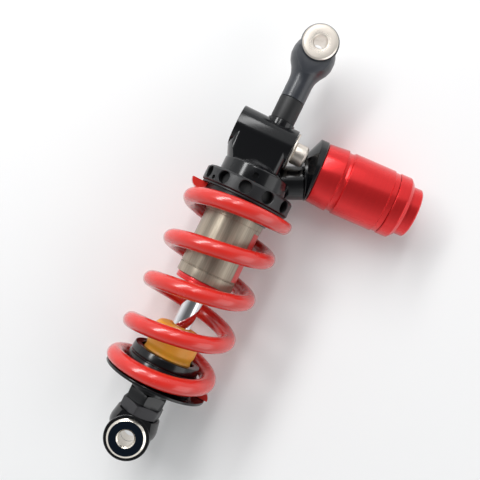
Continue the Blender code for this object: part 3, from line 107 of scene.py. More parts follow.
def span(node, axis):
    """Lowest and highest value of a CAD node along X, Y or Z."""
    low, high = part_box(node)
    return low["XYZ".index(axis)], high["XYZ".index(axis)]


def half_width(node, axis="X"):
    low, high = span(node, axis)
    return (high - low) / 2.0


# ================================================================ sizes and colours

def length(name, description, default):
    return FloatProperty(name=name, description=description, default=default, unit="LENGTH",
                         subtype="DISTANCE", precision=5, min=0.0)


def colour(name, description, default):
    return FloatVectorProperty(name=name, description=description, default=default, size=3,
                               subtype="COLOR", min=0.0, max=1.0)


class ShockSizes(bpy.types.PropertyGroup):
    """Sizes that a user would change."""

    bolt_spacing: length("Bolt spacing", "Upper bolt to lower bolt, extended",
                         -(span("lower_spacer_front", "Z")[0] + span("lower_spacer_front", "Z")[1]) / 2.0)
    upper_bolt: length("Upper bolt radius", "Hole through the upper spacers", 5.0 * MM)
    lower_bolt: length("Lower bolt radius", "Hole through the lower spacers", 6.0 * MM)
    shaft: length("Shaft radius", "Radius of the chromed shaft", half_width("shaft"))
    tube: length("Tube radius", "Outer radius of the damper tube below its collar",
                 half_width("damper_tube") - COLLAR_RISE)
    tube_bore: length("Tube bore", "Inner radius of the damper tube", 18.0 * MM)
    skirt: length("Skirt radius", "Crest radius of the thread that carries the preload ring", 24.4 * MM)
    ring: length("Ring radius", "Outer radius of the preload ring", half_width("preload_ring"))
    ring_holes: IntProperty(name="Spanner holes", description="Number of holes around the preload ring",
                            default=12, min=3, max=24)
    ring_hole: length("Spanner hole radius", "Radius of each spanner hole", 4.5 * MM)
    wire: length("Wire radius", "Radius of the spring wire", 6.0 * MM)
    coil: length("Coil radius", "Spring axis to the middle of the wire", 35.0 * MM)
    coil_turns: FloatProperty(name="Coil turns", description="Turns of the spring from tip to tip", default=5.55,
                              min=2.0, max=20.0)
    coil_start: FloatProperty(name="Coil start", description="Angle of the upper tip from +X",
                              default=math.radians(195.0), subtype="ANGLE")
    closed_turns: FloatProperty(name="Closed turns", description="Turns at each end that lie closed", default=0.78,
                                min=0.0, max=2.0)
    closed_blend: FloatProperty(name="Closed blend", description="Turns over which the pitch opens", default=0.4,
                                min=0.05, max=1.0)
    closed_pitch: length("Closed pitch", "Drop for each closed turn", 7.0 * MM)
    perch: length("Perch radius", "Outer radius of the lower spring perch", half_width("lower_perch"))
    bump: length("Bump stop radius", "Outer radius of the bump stop", half_width("bump_stop"))
    valve_flange: length("Valve flange", "Thickness of the flange of the compression valve", 1.6 * MM)
    collar: length("Collar radius", "Radius of the elbow's collar", 17.6 * MM)
    barrel: length("Barrel radius", "Radius of the valve barrel across the head", 15.5 * MM)
    reservoir: length("Reservoir radius", "Outer radius of the reservoir's middle band", 24.4 * MM)
    reservoir_slope: FloatProperty(name="Reservoir slope", description="Angle of the reservoir above level",
                                   default=math.radians(2.6), subtype="ANGLE")
    arm_slope: FloatProperty(name="Arm slope", description="Angle of the arm above level",
                             default=math.radians(26.1), subtype="ANGLE")
    backdrop_gap: length("Backdrop gap", "Space between the object and the surface it lies on", 0.4 * MM)


class ShockColours(bpy.types.PropertyGroup):
    """Base colours of the finishes."""

    spring_red: colour("Spring red", "Powder coat of the coil spring", (0.62, 0.020, 0.013))
    anodised_red: colour("Anodised red", "Dyed aluminium of the reservoir", (0.74, 0.024, 0.026))
    anodised_black: colour("Anodised black", "Dyed aluminium of the head and perch", (0.0030, 0.0032, 0.0040))
    ring_black: colour("Ring black", "Dyed aluminium of the preload ring", (0.0085, 0.0085, 0.0098))
    shank_grey: colour("Shank grey", "Coated steel of the upper eye", (0.020, 0.023, 0.030))
    hex_grey: colour("Hexagon grey", "Dyed aluminium of the rebound ring", (0.050, 0.049, 0.052))
    tube_taupe: colour("Tube taupe", "Hard anodised damper tube", (0.36, 0.315, 0.245))
    band_red: colour("Band red", "Plain band along the damper tube", (0.62, 0.055, 0.050))
    machined: colour("Machined aluminium", "Bare aluminium of the knob and spacers", (0.82, 0.75, 0.67))
    chrome: colour("Chrome", "Hard chrome of the shaft", (0.78, 0.77, 0.79))
    blued: colour("Blued steel", "Face of the lower spacers", (0.022, 0.034, 0.056))
    steel: colour("Steel", "Plain ground steel", (0.50, 0.49, 0.47))
    bronze: colour("Bronze", "Bushings and the gas valve", (0.48, 0.30, 0.12))
    urethane: colour("Urethane", "Bump stop", (0.86, 0.40, 0.035))
    rubber: colour("Rubber", "Seals and the valve cap", (0.012, 0.012, 0.012))
    backdrop: colour("Backdrop", "Surface that the object lies on", (0.86, 0.86, 0.86))


def sizes():
    return bpy.context.scene.shock_sizes


def colours():
    return bpy.context.scene.shock_colours


# ================================================================ mesh helpers

def soften(outline, steps=4):
    """Rounds the corners of a (radius, height, fillet) outline that give a fillet."""
    count = len(outline)
    ring_shaped = all(point[0] > 0.0 for point in outline)
    softened = []
    for index, point in enumerate(outline):
        here = Vector(point[:2])
        fillet = point[2] if len(point) > 2 else 0.0
        if fillet <= 0.0 or (not ring_shaped and index in (0, count - 1)):
            softened.append(tuple(here))
            continue
        before = Vector(outline[index - 1][:2]) - here
        after = Vector(outline[(index + 1) % count][:2]) - here
        bend = before.angle(after)
        if abs(math.pi - bend) < 0.05:
            softened.append(tuple(here))
            continue
        cut = min(fillet / math.tan(bend / 2.0), 0.49 * before.length, 0.49 * after.length)
        start = here + before.normalized() * cut
        end = here + after.normalized() * cut
        for step in range(steps + 1):
            t = step / steps
            softened.append(tuple((1 - t) ** 2 * start + 2 * t * (1 - t) * here + t * t * end))
    return softened


def turned_mesh(name, outline, sides=SIDES, place=Matrix.Identity(4), phase=0.0):
    """A mesh turned about local Z. With no point on the axis the outline closes on itself."""
    points = soften(outline)
    ring_shaped = all(radius > 0.0 for radius, _ in points)
    bm = bmesh.new()
    rows = []
    for radius, height in points:
        if radius <= 0.0:
            rows.append([bm.verts.new((0.0, 0.0, height))])
            continue
        rows.append([bm.verts.new((radius * math.cos(phase + math.tau * side / sides),
                                   radius * math.sin(phase + math.tau * side / sides), height))
                     for side in range(sides)])
    pairs = list(zip(rows, rows[1:]))
    if ring_shaped:
        pairs.append((rows[-1], rows[0]))
    for first, second in pairs:
        for side in range(sides):
            after = (side + 1) % sides
            loop = [first[side % len(first)], first[after % len(first)],
                    second[after % len(second)], second[side % len(second)]]
            corners = []
            for corner in loop:
                if corner not in corners:
                    corners.append(corner)
            if len(corners) > 2:
                bm.faces.new(corners)
    bmesh.ops.remove_doubles(bm, verts=bm.verts, dist=0.0005 * MM)
    bmesh.ops.dissolve_degenerate(bm, edges=bm.edges, dist=0.0005 * MM)
    bmesh.ops.recalc_face_normals(bm, faces=bm.faces)
    bmesh.ops.transform(bm, matrix=place, verts=bm.verts)
    return keep_mesh(name, bm)


def keep_mesh(name, bm):
    mesh = bpy.data.meshes.new(name)
    bm.to_mesh(mesh)
    bm.free()
    return mesh


def block_mesh(name, low, high, rounding=0.0):
    """A block, its upright edges rounded."""
    bm = bmesh.new()
    size = Vector(high) - Vector(low)
    centre = (Vector(high) + Vector(low)) / 2.0
    bmesh.ops.create_cube(bm, size=1.0, matrix=Matrix.Translation(centre) @ Matrix.Diagonal((*size, 1.0)))
    if rounding > 0.0:
        upright = [edge for edge in bm.edges if abs(edge.verts[0].co.z - edge.verts[1].co.z) > 0.5 * size.z]
        bmesh.ops.bevel(bm, geom=upright, offset=rounding, segments=10, profile=0.5, affect="EDGES")
    return keep_mesh(name, bm)


def object_of(mesh):
    made = bpy.data.objects.new(mesh.name, mesh)
    bpy.context.scene.collection.objects.link(made)
    return made


def apply_modifiers(piece):
    """Turns a piece and its modifiers into one plain mesh."""
    bpy.context.view_layer.update()
    graph = bpy.context.evaluated_depsgraph_get()
    mesh = bpy.data.meshes.new_from_object(piece.evaluated_get(graph))
    piece.modifiers.clear()
    before = piece.data
    piece.data = mesh
    bpy.data.meshes.remove(before)
    mesh.name = piece.name


def combine(piece, tool_mesh, operation="DIFFERENCE"):
    """Cuts, joins or trims a piece with a tool mesh, and drops the tool."""
    tool = object_of(tool_mesh)
    modifier = piece.modifiers.new("machining", "BOOLEAN")
    modifier.operation = operation
    modifier.solver = "EXACT"
    modifier.object = tool
    apply_modifiers(piece)
    bpy.data.objects.remove(tool, do_unlink=True)


def cylinder_outline(radius, start, end, fillet=0.0):
    return [(0.0, start), (radius, start, fillet), (radius, end, fillet), (0.0, end)]


def ring_outline(inner, outer, start, end, fillet=0.0):
    return [(inner, start, fillet), (outer, start, fillet), (outer, end, fillet), (inner, end, fillet)]


def hex_radius(across_flats):
    return across_flats / 2.0 / math.cos(math.radians(30.0))


def radial_place(angle, height):
    """A frame on the damper axis whose Z points outwards."""
    return Matrix.Translation((0.0, 0.0, height)) @ Matrix.Rotation(angle, 4, "Z") @ TO_RIGHT


def finish_piece(piece, material, body, slot, *replaced, sharp=SHARP):
    """Shades a piece, gives it its material, ties it to its CAD body, and hides the CAD nodes that it replaces; its
    slot is not used.
    """
    piece.data.shade_smooth()
    piece.data.set_sharp_from_angle(angle=sharp)
    if material is not None:
        piece.data.materials.clear()
        piece.data.materials.append(material)
    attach(piece, body)
    if replaced:
        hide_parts(*replaced)
    return piece


def turned_piece(name, outline, material, body, slot, *replaced, place=Matrix.Identity(4), sides=SIDES):
    piece = object_of(turned_mesh(name, outline, sides, place))
    return finish_piece(piece, material, body, slot, *replaced)


# ================================================================ shared shader groups

def value_socket(tree, name, kind, default=None, output=False):
    socket = tree.interface.new_socket(name=name, in_out="OUTPUT" if output else "INPUT", socket_type=kind)
    if default is not None:
        socket.default_value = default


def feed(tree, socket, value):
    """Links a socket to another, or sets its value."""
    if isinstance(value, bpy.types.NodeSocket):
        tree.links.new(value, socket)
    else:
        socket.default_value = value


def new_shader_group(name, inputs, outputs):
    """A shader group with its named sockets. Returns the tree, its input node and its output node."""
    tree = bpy.data.node_groups.new(name, "ShaderNodeTree")
    for socket_name, kind, default in inputs:
        value_socket(tree, socket_name, kind, default)
    for socket_name, kind in outputs:
        value_socket(tree, socket_name, kind, output=True)
    return tree, tree.nodes.new("NodeGroupInput"), tree.nodes.new("NodeGroupOutput")


def shader_math(tree, operation, *values, clamp=False):
    node = tree.nodes.new("ShaderNodeMath")
    node.operation = operation
    node.use_clamp = clamp
    for socket, value in zip(node.inputs, values):
        feed(tree, socket, value)
    return node.outputs[0]


def noise(tree, vector, scale, detail=2.0, roughness=0.5, distortion=0.0):
    node = tree.nodes.new("ShaderNodeTexNoise")
    for name, value in (("Vector", vector), ("Scale", scale), ("Detail", detail), ("Roughness", roughness),
                        ("Distortion", distortion)):
        feed(tree, node.inputs[name], value)
    return node.outputs["Fac"]


def stretched(tree, vector, scale):
    node = tree.nodes.new("ShaderNodeVectorMath")
    node.operation = "MULTIPLY"
    tree.links.new(vector, node.inputs[0])
    node.inputs[1].default_value = scale
    return node.outputs[0]


def remap(tree, value, low, high, to_low, to_high):
    node = tree.nodes.new("ShaderNodeMapRange")
    for name, given in (("Value", value), ("From Min", low), ("From Max", high), ("To Min", to_low),
                        ("To Max", to_high)):
        feed(tree, node.inputs[name], given)
    return node.outputs["Result"]


def make_turning_marks():
    """Fine rings left by a lathe, about the Z axis of the vector it is given."""
    tree, given, out = new_shader_group(
        "turning_marks",
        (("Vector", "NodeSocketVector", None), ("Marks per Metre", "NodeSocketFloat", 2500.0)),
        (("Height", "NodeSocketFloat"), ("Streaks", "NodeSocketFloat")))
    axis = tree.nodes.new("ShaderNodeSeparateXYZ")
    tree.links.new(given.outputs["Vector"], axis.inputs[0])
    radius_squared = shader_math(tree, "ADD", shader_math(tree, "MULTIPLY", axis.outputs[0], axis.outputs[0]),
                                 shader_math(tree, "MULTIPLY", axis.outputs[1], axis.outputs[1]))
    radius = shader_math(tree, "SQRT", radius_squared)
    ring = tree.nodes.new("ShaderNodeCombineXYZ")
    tree.links.new(radius, ring.inputs[0])
    tree.links.new(axis.outputs[2], ring.inputs[2])
    fine = noise(tree, ring.outputs[0], given.outputs["Marks per Metre"], 1.0)
    broad = noise(tree, ring.outputs[0], shader_math(tree, "MULTIPLY", given.outputs["Marks per Metre"], 0.11), 3.0)
    tree.links.new(fine, out.inputs["Height"])
    tree.links.new(shader_math(tree, "MULTIPLY", shader_math(tree, "ADD", fine, broad), 0.5), out.inputs["Streaks"])
    return tree


def make_drawn_streaks():
    """Long streaks that run along the Z axis of the vector it is given."""
    tree, given, out = new_shader_group(
        "drawn_streaks",
        (("Vector", "NodeSocketVector", None), ("Streaks per Metre", "NodeSocketFloat", 260.0)),
        (("Streaks", "NodeSocketFloat"),))
    long = stretched(tree, given.outputs["Vector"], (1.0, 1.0, 0.045))
    broad = noise(tree, long, given.outputs["Streaks per Metre"], 2.0, 0.45)
    fine = noise(tree, long, shader_math(tree, "MULTIPLY", given.outputs["Streaks per Metre"], 7.0), 2.0)
    mixed = shader_math(tree, "ADD", shader_math(tree, "MULTIPLY", broad, 0.7),
                        shader_math(tree, "MULTIPLY", fine, 0.3))
    tree.links.new(mixed, out.inputs["Streaks"])
    return tree


def make_handled_surface():
    """Faint smears and a few specks, as a finished metal surface has after handling."""
    tree, given, out = new_shader_group(
        "handled_surface",
        (("Vector", "NodeSocketVector", None), ("Base Roughness", "NodeSocketFloat", 0.3),
         ("Smear", "NodeSocketFloat", 0.06), ("Specks", "NodeSocketFloat", 0.1)),
        (("Roughness", "NodeSocketFloat"),))
    smear = noise(tree, given.outputs["Vector"], 55.0, 4.0, 0.6, 0.4)
    change = shader_math(tree, "MULTIPLY", shader_math(tree, "SUBTRACT", smear, 0.5),
                         shader_math(tree, "MULTIPLY", given.outputs["Smear"], 2.0))
    speck = remap(tree, noise(tree, given.outputs["Vector"], 1500.0, 2.0), 0.70, 0.78, 0.0, 1.0)
    speck = shader_math(tree, "MULTIPLY", speck, given.outputs["Specks"])
    rough = shader_math(tree, "ADD", shader_math(tree, "ADD", given.outputs["Base Roughness"], change),
                        shader_math(tree, "MULTIPLY", speck, 0.5), clamp=True)
    tree.links.new(rough, out.inputs["Roughness"])
    return tree


def make_grain():
    """Fine even grain, such as the bloom of an anodised or blasted surface."""
    tree, given, out = new_shader_group(
        "fine_grain", (("Vector", "NodeSocketVector", None), ("Grain per Metre", "NodeSocketFloat", 4000.0)),
        (("Height", "NodeSocketFloat"),))
    tree.links.new(noise(tree, given.outputs["Vector"], given.outputs["Grain per Metre"], 2.0), out.inputs["Height"])
    return tree


GROUP_MAKERS = {
    "turning_marks": make_turning_marks,
    "drawn_streaks": make_drawn_streaks,
    "handled_surface": make_handled_surface,
    "fine_grain": make_grain,
}


def placed_group(material, name, vector, **values):
    """Places a shared group in a material, fed by a vector."""
    tree = bpy.data.node_groups.get(name) or GROUP_MAKERS[name]()
    node = material.node_tree.nodes.new("ShaderNodeGroup")
    node.node_tree = tree
    material.node_tree.links.new(vector, node.inputs["Vector"])
    for socket, value in values.items():
        node.inputs[socket.replace("_", " ")].default_value = value
    return node.outputs


class Finish:
    """A material under construction: its shader, and the Object coordinates turned to a piece's axis."""

    def __init__(self, name, base, roughness=0.3, metallic=0.0, axis=None, **shader_values):
        self.material = bpy.data.materials.new(name)
        self.material.use_nodes = True
        self.tree = self.material.node_tree
        self.shader = self.tree.nodes["Principled BSDF"]
        self.shader.inputs["Base Color"].default_value = (*base, 1.0)
        self.shader.inputs["Roughness"].default_value = roughness
        self.shader.inputs["Metallic"].default_value = metallic
        for socket, value in shader_values.items():
            self.shader.inputs[socket.replace("_", " ")].default_value = value
        self.material.diffuse_color = (*base, 1.0)
        coordinates = self.tree.nodes.new("ShaderNodeTexCoord")
        self.vector = coordinates.outputs["Object"]
        if axis is not None:
            mapping = self.tree.nodes.new("ShaderNodeMapping")
            mapping.vector_type = "POINT"
            inverse = axis.inverted()
            mapping.inputs["Location"].default_value = inverse.to_translation()
            mapping.inputs["Rotation"].default_value = inverse.to_euler()
            self.tree.links.new(self.vector, mapping.inputs["Vector"])
            self.vector = mapping.outputs[0]

    def group(self, name, **values):
        return placed_group(self.material, name, self.vector, **values)

    def roughness(self, socket):
        self.tree.links.new(socket, self.shader.inputs["Roughness"])

    def bump(self, height, strength, distance=0.02 * MM):
        node = self.tree.nodes.new("ShaderNodeBump")
        node.inputs["Strength"].default_value = strength
        node.inputs["Distance"].default_value = distance
        self.tree.links.new(height, node.inputs["Height"])
        self.tree.links.new(node.outputs[0], self.shader.inputs["Normal"])

    def tint(self, factor, low, high):
        """Base colour that runs between two colours."""
        node = self.tree.nodes.new("ShaderNodeMix")
        node.data_type = "RGBA"
        self.tree.links.new(factor, node.inputs[0])
        node.inputs[6].default_value = (*low, 1.0)
        node.inputs[7].default_value = (*high, 1.0)
        self.tree.links.new(node.outputs[2], self.shader.inputs["Base Color"])

    def math(self, operation, *values):
        return shader_math(self.tree, operation, *values)


def shade(base, amount):
    return tuple(min(1.0, channel * amount) for channel in base)


def dyed_aluminium(name, base, roughness, axis=None, marks=0.12, metallic=0.0, smear=0.05, coat=0.0, specks=0.08):
    """Anodised and dyed aluminium: turning marks under a clear, faintly uneven surface."""
    finish = Finish(name, base, roughness, metallic, axis, Specular_IOR_Level=0.5, Coat_Weight=coat,
                    Coat_Roughness=0.08)
    handled = finish.group("handled_surface", Base_Roughness=roughness, Smear=smear, Specks=specks)
    finish.roughness(handled["Roughness"])
    turning = finish.group("turning_marks", Marks_per_Metre=2600.0)
    finish.tint(turning["Streaks"], shade(base, 0.80), shade(base, 1.22))
    finish.bump(turning["Height"], marks)
    return finish.material


def bare_metal(name, base, roughness, axis=None, marks=0.25, per_metre=2600.0):
    """Turned bare metal with rings of brighter and duller cut."""
    finish = Finish(name, base, roughness, 1.0, axis)
    handled = finish.group("handled_surface", Base_Roughness=roughness, Smear=0.07, Specks=0.05)
    turning = finish.group("turning_marks", Marks_per_Metre=per_metre)
    finish.roughness(finish.math("ADD", handled["Roughness"],
                                 finish.math("MULTIPLY", finish.math("SUBTRACT", turning["Streaks"], 0.5), 0.22)))
    finish.tint(turning["Streaks"], shade(base, 0.86), shade(base, 1.10))
    finish.bump(turning["Height"], marks)
    return finish.material


def powder_coat():
    """Gloss powder coat with a slight orange peel."""
    base = colours().spring_red
    finish = Finish("spring_powder_coat", base, 0.24, Specular_IOR_Level=0.5, Coat_Weight=0.6, Coat_Roughness=0.12)
    handled = finish.group("handled_surface", Base_Roughness=0.26, Smear=0.05, Specks=0.06)
    finish.roughness(handled["Roughness"])
    peel = finish.group("fine_grain", Grain_per_Metre=620.0)
    flow = noise(finish.tree, finish.vector, 120.0, 2.0)
    finish.tint(flow, shade(base, 0.90), shade(base, 1.10))
    finish.bump(peel["Height"], 0.10, 0.06 * MM)
    return finish.material


def hard_anodised():
    """Hard anodised tube: grey-brown, with long soft streaks and fine turning marks."""
    base = colours().tube_taupe
    finish = Finish("tube_hard_anodised", base, 0.36, 0.55)
    streaks = finish.group("drawn_streaks", Streaks_per_Metre=150.0)
    turning = finish.group("turning_marks", Marks_per_Metre=3200.0)
    clear = remap(finish.tree, streaks["Streaks"], 0.36, 0.64, 0.0, 1.0)
    finish.tint(clear, shade(base, 0.62), shade(base, 1.28))
    handled = finish.group("handled_surface", Base_Roughness=0.36, Smear=0.06, Specks=0.06)
    finish.roughness(handled["Roughness"])
    finish.bump(turning["Height"], 0.14)
    return finish.material


def hard_chrome():
    """Polished hard chrome with the faintest rings."""
    finish = Finish("shaft_hard_chrome", colours().chrome, 0.05, 1.0)
    handled = finish.group("handled_surface", Base_Roughness=0.06, Smear=0.02, Specks=0.02)
    finish.roughness(handled["Roughness"])
    polish = finish.group("turning_marks", Marks_per_Metre=9000.0)
    finish.bump(polish["Height"], 0.02)
    return finish.material


def poured_urethane():
    """Poured urethane: light passes a little way in, and the skin is satin with small pits."""
    base = colours().urethane
    finish = Finish("bump_stop_urethane", base, 0.42, Subsurface_Weight=0.35, Subsurface_Radius=(1.0, 0.45, 0.12),
                    Subsurface_Scale=4.0 * MM)
    cloud = noise(finish.tree, finish.vector, 90.0, 3.0)
    finish.tint(cloud, shade(base, 0.88), shade(base, 1.12))
    handled = finish.group("handled_surface", Base_Roughness=0.42, Smear=0.08, Specks=0.15)
    finish.roughness(handled["Roughness"])
    grain = finish.group("fine_grain", Grain_per_Metre=1400.0)
    finish.bump(grain["Height"], 0.12, 0.08 * MM)
    return finish.material


def moulded_rubber():
    """Dull moulded rubber with an even grain."""
    finish = Finish("seal_rubber", colours().rubber, 0.6)
    grain = finish.group("fine_grain", Grain_per_Metre=2200.0)
    handled = finish.group("handled_surface", Base_Roughness=0.6, Smear=0.1, Specks=0.1)
    finish.roughness(handled["Roughness"])
    finish.bump(grain["Height"], 0.25, 0.05 * MM)
    return finish.material


def coated_steel(name, base, roughness):
    """Satin coated steel with a fine grain."""
    finish = Finish(name, base, roughness, Specular_IOR_Level=0.6, Coat_Weight=0.25, Coat_Roughness=0.22)
    handled = finish.group("handled_surface", Base_Roughness=roughness, Smear=0.06, Specks=0.10)
    finish.roughness(handled["Roughness"])
    grain = finish.group("fine_grain", Grain_per_Metre=1800.0)
    finish.tint(grain["Height"], shade(base, 0.88), shade(base, 1.12))
    finish.bump(grain["Height"], 0.08, 0.04 * MM)
    return finish.material


def plain_band():
    """Satin printed band, slightly see-through over the tube."""
    base = colours().band_red
    finish = Finish("tube_band_print", base, 0.38)
    cloud = noise(finish.tree, finish.vector, 140.0, 2.0)
    finish.tint(cloud, shade(base, 0.92), shade(base, 1.08))
    handled = finish.group("handled_surface", Base_Roughness=0.38, Smear=0.05, Specks=0.05)
    finish.roughness(handled["Roughness"])
    return finish.material


def reservoir_place():
    """Frame of the reservoir: its Z runs along the reservoir, away from the arm."""
    slope = sizes().reservoir_slope
    low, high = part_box("reservoir_elbow")
    return (Matrix.Translation((40.7 * MM, (low.y + high.y) / 2.0, -80.5 * MM))
            @ Matrix.Rotation(math.radians(90.0) - slope, 4, "Y"))


FINISH_MAKERS = {
    "spring": powder_coat,
    "tube": hard_anodised,
    "chrome": hard_chrome,
    "urethane": poured_urethane,
    "rubber": moulded_rubber,
    "band": plain_band,
    "head_black": lambda: dyed_aluminium("head_black_anodised", colours().anodised_black, 0.16, TO_RIGHT, 0.05,
                                         smear=0.03),
    "black": lambda: dyed_aluminium("black_anodised", colours().anodised_black, 0.18, None, 0.08),
    "sleeve_black": lambda: dyed_aluminium("sleeve_black_anodised", shade(colours().anodised_black, 0.9), 0.50,
                                           None, 0.2),
    "eye_black": lambda: dyed_aluminium("lower_eye_black", shade(colours().anodised_black, 0.8), 0.22, None,
                                        0.06, coat=0.2),
    "ring_black": lambda: dyed_aluminium("ring_black_anodised", colours().ring_black, 0.40, None, 0.14),
    # painted shade: half as bright as the anodised black and rougher, for the walls of the ring's holes
    "hole_painted_shade": lambda: dyed_aluminium("spanner_hole_painted_shade", shade(colours().anodised_black, 0.5), 0.55, None, 0.05),
    "hex_grey": lambda: dyed_aluminium("hexagon_grey_anodised", colours().hex_grey, 0.42, None, 0.14, metallic=0.4),
    "shank": lambda: coated_steel("shank_coated_steel", colours().shank_grey, 0.36),
    "reservoir_red": lambda: dyed_aluminium("reservoir_red_anodised", colours().anodised_red, 0.24, reservoir_place(),
                                            0.05, metallic=0.68, smear=0.012, coat=0.2, specks=0.015),
    "cap_red": lambda: dyed_aluminium("tube_cap_red_anodised", colours().anodised_red, 0.28, None, 0.10,
                                      metallic=0.35, coat=0.3),
    "knob": lambda: bare_metal("knob_machined", colours().machined, 0.34, TO_RIGHT, 0.30, 1800.0),
    "spacer": lambda: bare_metal("spacer_machined", colours().machined, 0.30, TO_FRONT, 0.22, 2400.0),
    "bright": lambda: bare_metal("bright_cut_edge", shade(colours().machined, 1.15), 0.20, TO_FRONT, 0.10),
    "blued": lambda: bare_metal("spacer_blued_face", colours().blued, 0.34,
                                Matrix.Translation((0, 0, -sizes().bolt_spacing)) @ TO_FRONT, 0.25),
    "steel": lambda: bare_metal("ground_steel", colours().steel, 0.32, None, 0.15),
    "bronze": lambda: bare_metal("turned_bronze", colours().bronze, 0.34, None, 0.15),
    "aluminium": lambda: bare_metal("turned_aluminium", colours().machined, 0.36, None, 0.2),
}
FINISHES = {}


def finish_of(name):
    if name not in FINISHES:
        FINISHES[name] = FINISH_MAKERS[name]()
    return FINISHES[name]


# ================================================================ geometry node helpers

class Calculation:
    """Short forms for the math nodes of a Geometry Nodes tree."""

    def __init__(self, tree):
        self.tree = tree

    def math(self, operation, *values, clamp=False):
        return shader_math(self.tree, operation, *values, clamp=clamp)

    def feed(self, socket, value):
        feed(self.tree, socket, value)

    def node(self, kind, **values):
        node = self.tree.nodes.new(kind)
        for name, value in values.items():
            self.feed(node.inputs[name.replace("_", " ")], value)
        return node

    def point(self, x, y, z):
        node = self.tree.nodes.new("ShaderNodeCombineXYZ")
        for socket, value in zip(node.inputs, (x, y, z)):
            self.feed(socket, value)
        return node.outputs[0]


def new_geometry_tree(name, inputs, takes_mesh=False):
    tree = bpy.data.node_groups.new(name, "GeometryNodeTree")
    if takes_mesh:
        value_socket(tree, "Geometry", "NodeSocketGeometry")
    for socket_name, kind, default in inputs:
        value_socket(tree, socket_name, kind, default)
    value_socket(tree, "Geometry", "NodeSocketGeometry", output=True)
    return tree, tree.nodes.new("NodeGroupInput").outputs, tree.nodes.new("NodeGroupOutput").inputs, Calculation(tree)


def run_geometry_tree(piece, tree, **values):
    """Runs a tree on a piece with its named inputs, and leaves a plain mesh."""
    modifier = piece.modifiers.new(tree.name, "NODES")
    modifier.node_group = tree
    identifiers = {item.name: item.identifier for item in tree.interface.items_tree
                   if item.item_type == "SOCKET" and item.in_out == "INPUT"}
    for name, value in values.items():
        modifier[identifiers[name.replace("_", " ")]] = value
    apply_modifiers(piece)


def end_tree(tree, geometry, material, output):
    """Every tree ends by making its instances real and setting its material."""
    real = tree.nodes.new("GeometryNodeRealizeInstances")
    tree.links.new(geometry, real.inputs[0])
    paint = tree.nodes.new("GeometryNodeSetMaterial")
    tree.links.new(real.outputs[0], paint.inputs["Geometry"])
    tree.links.new(material, paint.inputs["Material"])
    tree.links.new(paint.outputs[0], output["Geometry"])


